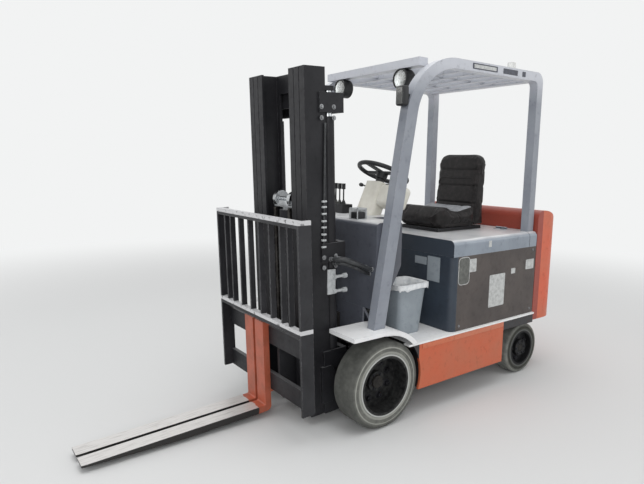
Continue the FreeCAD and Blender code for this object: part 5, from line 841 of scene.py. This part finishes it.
def makeTrim():
    band = trim["skirtBand"]
    for side, sign in (("left", 1), ("right", -1)):
        bm = bmesh.new()
        xs = sorted((sign * 555, sign * (556 + band["thick"])))
        addBlock(bm, (xs[0], band["y"][0], band["z"][0]), (xs[1], band["y"][1], band["z"][1]), 1.4)
        makePiece(f"skirt_band_{side}", bm, "chassis", "sprayedOrangeTrim")
    mat = trim["mat"]
    bm = bmesh.new()
    addBlock(bm, (mat["x"][0], mat["y"][0], 477), (mat["x"][1], mat["y"][1], 477 + mat["thick"]), 2)
    x = mat["x"][0] + mat["pitch"]
    while x < mat["x"][1] - mat["pitch"]:
        addBlock(bm, (x, mat["y"][0] + 12, 480), (x + mat["rib"], mat["y"][1] - 12, 479 + mat["thick"] + 2), 1)
        x += mat["pitch"]
    makePiece("floor_mat_ribbed", bm, "chassis", "pressedRubberMat")
    ribs = trim["pedalRibs"]
    bm = bmesh.new()
    for middle in ribs["x"]:
        y = ribs["y"][0]
        while y < ribs["y"][1]:
            addBlock(bm, (middle - 34, y, ribs["z"] - 1), (middle + 34, y + 7, ribs["z"] + 5), 1.5)
            y += ribs["pitch"]
    makePiece("pedal_ribs", bm, "chassis", "pressedRubberMat")


lamps = {"x": 300, "y": 300, "z": 2081, "radius": 62}


def makeLampFaces():
    for side, sign in (("left", 1), ("right", -1)):
        at = place(sign * lamps["x"], lamps["y"], lamps["z"])
        bm = bmesh.new()
        addTurned(bm, [(0, 0.5), (53, 0.5), (54, 2)], at, (0, -1, 0))
        makePiece(f"lamp_reflector_{side}", bm, "chassis", "hardChromePlate")
        bm = bmesh.new()
        addTurned(bm, [(0, 10), (18, 9.4), (36, 7.4), (48, 5), (54, 3), (54, 1)], at, (0, -1, 0))
        makePiece(f"lamp_lens_{side}", bm, "chassis", "pressedLensGlass")
        bm = bmesh.new()
        addTurned(bm, [(53, 0), (53, 6), (55, 9), (60, 9), (62, 6), (63, -12), (60, -12)], at, (0, -1, 0))
        makePiece(f"lamp_bezel_{side}", bm, "chassis", "mouldedBlackPlastic")


controls = {"leverX": -300, "pitch": 44, "count": 4, "leverY": 240, "consoleTop": 1282,
            "wheel": (0, 450, 1500), "lean": -25, "ring": 172}


def makeControls():
    bm = bmesh.new()
    bellows = [(17, 0), (18, 3), (13, 8), (15.5, 12), (10, 16), (12, 20), (7.5, 24), (8, 27), (5.3, 29)]
    for i in range(controls["count"]):
        at = place(controls["leverX"] + i * controls["pitch"], controls["leverY"], controls["consoleTop"])
        addTurned(bm, bellows, at, (0, 0, 1), steps=24)
    makePiece("lever_gaiters", bm, "chassis", "pressedRubberMat", sharp=70)
    turn = Matrix.Rotation(math.radians(controls["lean"]), 4, "X")
    pose = Matrix.Translation(place(*controls["wheel"])) @ turn
    up = turn @ Vector((0, 0, 1))
    bm = bmesh.new()
    addTurned(bm, [(0, 5), (24, 5), (32, 3), (36, -1), (36, -4)], pose @ Vector((0, 0, 0)), up)
    knob = pose @ Vector((-controls["ring"] * 0.0008, controls["ring"] * 0.0006, 0.008))
    addTurned(bm, [(9, 0), (9, 12), (20, 18), (25, 28), (24, 38), (15, 46), (0, 48)], knob, up, steps=32)
    makePiece("wheel_knob_and_cap", bm, "steering_wheel", "mouldedBlackPlastic")


hoses = {
    # three hydraulic hoses from the mast's middle tie round to the dash, 20 mm over their covers
    "paths": [
        [(318, -232, 1012), (352, -236, 1018), (396, -214, 1022), (426, -150, 1000), (428, -70, 968),
         (416, -14, 946), (412, 10, 940)],
        [(318, -206, 986), (350, -208, 992), (388, -190, 996), (410, -132, 972), (408, -62, 938),
         (394, -14, 916), (390, 10, 910)],
        [(318, -180, 1012), (346, -180, 1016), (374, -158, 1012), (382, -104, 992), (374, -52, 966),
         (362, -14, 950), (358, 10, 946)],
    ],
    "radius": 12,
    "fitting": [(0, 0), (15, 0), (15, 12), (12.5, 14), (12.5, 34), (10.5, 36)],
}


def makeHoses():
    for number, points in enumerate(hoses["paths"]):
        route = [place(*p) for p in points]
        line = splineCurve(f"line{number}", route, 0)
        probe = bpy.data.objects.new(f"line{number}", line)
        bpy.context.scene.collection.objects.link(probe)
        spine = bpy.data.meshes.new_from_object(probe)
        bpy.data.objects.remove(probe)
        thick = bpy.data.objects.new("thick", splineCurve("thick", route, hoses["radius"]))
        bpy.context.scene.collection.objects.link(thick)
        mesh = bpy.data.meshes.new_from_object(thick)
        bpy.data.objects.remove(thick)
        mesh.materials.clear()
        mesh.materials.append(finishes["nitrileHoseCover"])
        for face in mesh.polygons:
            face.use_smooth = True
        obj = bpy.data.objects.new(f"dash_hose_{number + 1}", mesh)
        bpy.context.scene.collection.objects.link(obj)
        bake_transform(obj)
        bm = bmesh.new()
        addTurned(bm, hoses["fitting"], route[0] + Vector((-0.004, 0, 0)), route[1] - route[0], steps=6)
        makePiece(f"hose_fitting_mast_{number + 1}", bm, "mast", "zincPlatedSteel")
        bm = bmesh.new()
        addTurned(bm, hoses["fitting"], route[-1] + Vector((0, 0.002, 0)), route[-2] - route[-1], steps=6)
        makePiece(f"hose_fitting_dash_{number + 1}", bm, "chassis", "zincPlatedSteel")


clips = {"x": 304, "y": -279, "from": 1075, "to": 1790, "radius": 7, "size": (30, 12),
         "at": (1082, 1121, 1155, 1196, 1232, 1274, 1313, 1345)}


# The front chain strands shorten as the crosshead rises by half of the carriage's lift; here they ride on the free-lift
# body as one fixed mesh.
chains = {"taken": 760, "body": "free_lift", "joint": "free_lift_slide"}


def makeChains():
    node = nodes["lift_chains"]
    mesh = node.data.copy()
    mesh.transform(node.matrix_world)
    mesh.materials.clear()
    mesh.materials.append(finishes["oiledLeafChain"])
    obj = ridePiece("front_chain_strands", mesh, chains["body"])
    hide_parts("lift_chains")
    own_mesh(obj)


def makeMastLine():
    x = clips["x"] + clips["radius"] + 1
    points = [place(x, clips["y"], z) for z in (clips["from"], 1250, 1420, 1600, clips["to"])]
    curve = splineCurve("mast_line_near", points, clips["radius"])
    curve.materials.append(finishes["nitrileHoseCover"])
    obj = bpy.data.objects.new("mast_line_near", curve)
    bpy.context.scene.collection.objects.link(obj)
    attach(obj, "mast")
    bm = bmesh.new()
    wide, tall = clips["size"]
    for z in clips["at"]:
        addBlock(bm, (clips["x"] - 1, clips["y"] - wide / 2, z), (clips["x"] + 17, clips["y"] + wide / 2, z + tall),
                 4, 3)
    makePiece("mast_line_clips", bm, "mast", "mouldedPaleNylon")


seat = {
    "voxel": 6, "frames": 20, "pressure": 4.0, "cap": 12,
    "seat_cushion": {"start": (0.955, 0.955, 0.90), "channels": [(0, -0.135, 2), (0, 0.135, 2)], "depth": 7,
                     "piping": (2, 14), "name": "seat_cushion_cover", "hollow": (0.23, 0.085, 24), "nose": 0.11},
    "seat_back": {"start": (0.955, 0.88, 0.97), "channels": [(2, 1.27, 1), (2, 1.40, 1), (2, 1.52, 1)], "depth": 6,
                  "piping": (1, 24), "name": "seat_back_cover"},
}


def evaluatedMesh(obj):
    return bpy.data.meshes.new_from_object(obj.evaluated_get(bpy.context.evaluated_depsgraph_get()))


def swapMesh(obj, mesh):
    obj.modifiers.clear()
    obj.data = mesh


def makePad(node):
    spec = seat[node]
    low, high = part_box(node)
    middle = (low + high) / 2
    mesh = nodes[node].data.copy()
    mesh.transform(Matrix.Translation(middle) @ Matrix.Diagonal((*spec["start"], 1)) @ Matrix.Translation(-middle))
    pad = bpy.data.objects.new(spec["name"], mesh)
    bpy.context.scene.collection.objects.link(pad)
    voxels = pad.modifiers.new("voxels", "REMESH")
    voxels.mode = "VOXEL"
    voxels.voxel_size = seat["voxel"] / 1000
    swapMesh(pad, evaluatedMesh(pad))
    before = [v.co.copy() for v in pad.data.vertices]
    cloth = pad.modifiers.new("cover", "CLOTH")
    cloth.settings.quality = 5
    cloth.settings.mass = 0.3
    cloth.settings.use_pressure = True
    cloth.settings.uniform_pressure_force = seat["pressure"]
    cloth.settings.effector_weights.gravity = 0
    cloth.point_cache.frame_end = seat["frames"]
    for frameNumber in range(1, seat["frames"] + 1):
        bpy.context.scene.frame_set(frameNumber)
    swapMesh(pad, evaluatedMesh(pad))
    bpy.context.scene.frame_set(1)
    cap = seat["cap"] / 1000
    for v, was in zip(pad.data.vertices, before):
        step = v.co - was
        if step.length > cap:
            v.co = was + step * (cap / step.length)
    mesh = pad.data
    mesh.update()
    normals = [n.vector.copy() for n in mesh.vertex_normals]
    for v, normal in zip(mesh.vertices, normals):
        # the front is a round lobe, and the sitting area sinks behind it
        if "nose" in spec:
            ahead = min(1, max(0, 1 - (v.co.y - low.y) / spec["nose"]))
            v.co.z = middle.z + (v.co.z - middle.z) * math.sqrt(1 - 0.9 * ahead ** 2)
        if "hollow" in spec:
            behind, spread, sink = spec["hollow"]
            share = math.exp(-((v.co.y - low.y - behind) / spread) ** 2)
            v.co.z -= sink / 1000 * share * max(0, (v.co.z - middle.z) / (high.z - middle.z))
        dip = 0
        for axis, at, facing in spec["channels"]:
            share = abs(normal[facing])
            if share > 0.35:
                dip = max(dip, math.exp(-((v.co[axis] - at) / 0.008) ** 2) * share)
        v.co -= normal * dip * spec["depth"] / 1000
        for axis in range(3):
            v.co[axis] = min(max(v.co[axis], low[axis] + 0.0005), high[axis] + (0.008 if axis == 2 else 0.004))
    mesh.materials.clear()
    mesh.materials.append(finishes["grainedSeatVinyl"])
    mesh.materials.append(finishes["grainedSideVinyl"])
    for face in mesh.polygons:
        face.use_smooth = True
        at = face.center
        if node == "seat_cushion" and at.z > middle.z + 0.01 and at.y > low.y + 0.16 and abs(at.x) < high.x - 0.028:
            face.material_index = 1
    smooth = pad.modifiers.new("smooth", "SUBSURF")
    smooth.levels = smooth.render_levels = 1
    swapMesh(pad, evaluatedMesh(pad))
    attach(pad, "hood")
    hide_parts(node)
    addPiping(pad, node, low, high)


# welt sewn round the cover's edge, laid on the surface by rays from outside
def addPiping(pad, node, low, high):
    axis, offset = seat[node]["piping"]
    middle = (low + high) / 2
    level = (high[axis] + offset / 1000) if offset < 0 else (low[axis] + offset / 1000)
    one, two = [i for i in range(3) if i != axis]
    points = []
    for i in range(96):
        a = 2 * math.pi * i / 96
        start = middle.copy()
        start[axis] = level
        away = Vector((0, 0, 0))
        away[one], away[two] = math.cos(a), math.sin(a)
        hit, spot, normal, face = pad.ray_cast(start + away, -away)
        if hit:
            points.append(spot + normal * 0.0015)
    data = bpy.data.curves.new(node + "_welt", "CURVE")
    data.dimensions = "3D"
    spline = data.splines.new("NURBS")
    spline.points.add(len(points) - 1)
    for spot, point in zip(spline.points, points):
        spot.co = (*point, 1)
    spline.use_cyclic_u = True
    spline.order_u = 3
    data.bevel_depth = 0.0035
    data.bevel_resolution = 3
    data.materials.append(finishes["grainedSeatVinyl"])
    welt = bpy.data.objects.new(node + "_welt", data)
    bpy.context.scene.collection.objects.link(welt)
    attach(welt, "hood")


cab = {
    # low and high corner, rounding, finish, slot
    "tray": [((165, 22, 1221), (247, 100, 1225)), ((165, 22, 1221), (169, 100, 1292)),
             ((165, 96, 1221), (247, 100, 1292)), ((241, 22, 1284), (247, 100, 1292)),
             ((165, 22, 1284), (247, 28, 1292)), ((241, 22, 1221), (247, 28, 1292))],
    "trayInside": ((170, 32, 1224), (238, 95, 1266)),
    "pod": ((80, 322, 1268), (292, 428, 1422)), "podRounding": 30, "podLean": -25,
    "screen": ((112, 336, 1419), (262, 414, 1425)),
    "stalk": ((-70, 404, 1400), (-1, 0.05, 0.12), [(0, 0), (6, 0), (5, 95), (12, 100), (14, 118), (9, 128), (0, 130)]),
    "lampBody": ((446, 122, 1897), (512, 172, 2010)), "lampArm": ((484, 165, 1935), (500, 232, 1965)),
    "valvePlate": ((303, -247, 800), (313, -190, 950)),
    "pipes": [904, 817], "pipeFrom": -192, "pipeTo": -112, "pipeX": 314,
}


def makeCab():
    bm = bmesh.new()
    for low, high in cab["tray"]:
        addBlock(bm, low, high, 1.2)
    makePiece("dash_tray", bm, "chassis", "mouldedPaleNylon")
    bm = bmesh.new()
    addBlock(bm, *cab["trayInside"], 6, 3)
    makePiece("dash_tray_pouch", bm, "chassis", "mouldedBlackPlastic")
    centre = (place(*cab["pod"][0]) + place(*cab["pod"][1])) / 2
    lean = Matrix.Rotation(math.radians(cab["podLean"]), 3, "X")
    for name, key, rounding, finish, slot in (
            ("column_pod", "pod", cab["podRounding"], "mouldedCreamPlastic", "light_paint"),
            ("column_screen", "screen", 3, "mouldedBlackPlastic", "black_plastic")):
        bm = bmesh.new()
        addBlock(bm, *cab[key], rounding, 5)
        bmesh.ops.rotate(bm, cent=centre, matrix=lean, verts=bm.verts)
        makePiece(name, bm, "chassis", finish)
    bm = bmesh.new()
    at, out, profile = cab["stalk"]
    addTurned(bm, profile, place(*at), out, steps=20)
    makePiece("direction_stalk", bm, "chassis", "mouldedBlackPlastic")
    bm = bmesh.new()
    addBlock(bm, *cab["lampBody"], 12, 3)
    addBlock(bm, *cab["lampArm"], 3)
    makePiece("pillar_lamp", bm, "chassis", "mouldedBlackPlastic")
    low, high = cab["lampBody"]
    bm = bmesh.new()
    addBlock(bm, (low[0] + 8, low[1] - 3, low[2] + 10), (high[0] - 8, low[1] + 2, high[2] - 10), 2)
    makePiece("pillar_lamp_glass", bm, "chassis", "pressedLensGlass")
    bm = bmesh.new()
    addBlock(bm, *cab["valvePlate"], 2)
    for z in cab["pipes"]:
        run = cab["pipeTo"] - cab["pipeFrom"]
        nut = [(0, -18), (15, -18), (15, 0), (9, 0), (9, run - 24), (15, run - 24), (15, run), (0, run)]
        addTurned(bm, nut, place(cab["pipeX"], cab["pipeFrom"], z), (0, 1, 0), steps=18)
    makePiece("mast_valve_pipes", bm, "mast", "mouldedPaleNylon")


liner = {"inset": 10, "out": 6, "drop": 30, "down": 60, "steps": 40, "wave": 5}


# a bag folded over the box's rim, its hem waving a little
def makeLiner():
    low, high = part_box("footwell_box")
    centre, top = (low + high) / 2, high.z
    half = (high - low) / 2
    rings = []
    bm = bmesh.new()
    for inset, z in ((-liner["out"], -liner["drop"]), (-liner["out"], 3), (4, 6), (liner["inset"] + 10, 2),
                     (liner["inset"] + 14, -liner["down"])):
        ring = []
        for i in range(liner["steps"] * 4):
            a = 2 * math.pi * i / (liner["steps"] * 4)
            across, along = half.x - inset / 1000, half.y - inset / 1000
            # a rounded rectangle as a superellipse
            power = 2 / 6
            x = math.copysign(abs(math.cos(a)) ** power, math.cos(a)) * across
            y = math.copysign(abs(math.sin(a)) ** power, math.sin(a)) * along
            sway = liner["wave"] / 1000 * (math.sin(9 * a) + 0.6 * math.sin(17 * a + 1.3)) * (z < 0)
            ring.append(bm.verts.new((centre.x + x, centre.y + y, top + z / 1000 + sway)))
        rings.append(ring)
    for one, two in zip(rings, rings[1:]):
        for i in range(len(one)):
            j = (i + 1) % len(one)
            bm.faces.new((one[i], one[j], two[j], two[i]))
    makePiece("footwell_box_liner", bm, "chassis", "crumpledPolytheneLiner", sharp=80)


for makeThem in (makeTyres, makeHubs, makeLabels, makeBolts, makeTrim, makeLampFaces, makeControls, makeHoses,
                 makeMastLine, makeChains, makeCab, makeLiner):
    makeThem()
    print("stage:", makeThem.__name__)
makePad("seat_cushion")
makePad("seat_back")
print("stage: seat covers")


# 1 for rays that show the backdrop, straight, mirrored or through glass, and 0 for rays that light
def seenDirectly(tree):
    path = addNode(tree, "LightPath")
    direct = addNode(tree, "Math", {0: path.outputs["Is Camera Ray"], 1: path.outputs["Is Transmission Ray"]},
                     operation="MAXIMUM")
    return addNode(tree, "Math", {0: direct.outputs[0], 1: path.outputs["Is Glossy Ray"]},
                   operation="MAXIMUM").outputs[0]


def makeFloor():
    made, tree = startMaterial("castPaleFloor")
    where = addNode(tree, "TexCoord").outputs["Object"]
    cloud = addNode(tree, "TexNoise", {"Vector": where, "Scale": perMetre(900), "Detail": 3.0})
    rough = addNode(tree, "MapRange", {"Value": cloud.outputs["Fac"], "To Min": 0.72, "To Max": 0.82})
    matte = addNode(tree, "BsdfPrincipled", {"Base Color": hexToLinear(studio["floorColour"]),
                                             "Roughness": rough.outputs["Result"], "Specular IOR Level": 0.2})
    # far off the floor turns into the backdrop's colour, so no horizon shows
    far = addNode(tree, "VectorMath", {0: where}, operation="LENGTH").outputs["Value"]
    fade = addNode(tree, "MapRange", {"Value": far, "From Min": studio["fade"][0], "From Max": studio["fade"][1]},
                   interpolation_type="SMOOTHSTEP")
    backdrop = addNode(tree, "Emission", {"Color": hexToLinear(studio["backdrop"]), "Strength": 1.0})
    seenFade = addNode(tree, "Math", {0: fade.outputs["Result"], 1: seenDirectly(tree)}, operation="MULTIPLY")
    mixed = addNode(tree, "MixShader", {0: seenFade.outputs[0], 1: matte.outputs[0], 2: backdrop.outputs[0]})
    addNode(tree, "OutputMaterial", {"Surface": mixed.outputs[0]})
    half = studio["floorHalf"]
    mesh = bpy.data.meshes.new("studioFloor")
    mesh.from_pydata([(-half, -half, 0), (half, -half, 0), (half, half, 0), (-half, half, 0)], [], [(0, 1, 2, 3)])
    mesh.materials.append(made)
    floor = bpy.data.objects.new("studioFloor", mesh)
    bpy.context.scene.collection.objects.link(floor)
    world = bpy.data.worlds.new("studioWorld")
    world.use_nodes = True
    sky = world.node_tree
    sky.nodes.clear()
    light = addNode(sky, "Background", {"Color": hexToLinear("#FFFFFF"), "Strength": studio["world"]})
    seen = addNode(sky, "Background", {"Color": hexToLinear(studio["backdrop"]), "Strength": 1.0})
    blend = addNode(sky, "MixShader", {0: seenDirectly(sky), 1: light.outputs[0], 2: seen.outputs[0]})
    addNode(sky, "OutputWorld", {"Surface": blend.outputs[0]})
    bpy.context.scene.world = world


makeCamera()
makeLamps()
makeFloor()
bpy.context.scene.view_settings.view_transform = "Standard"
print("stage: camera, lamps and floor")
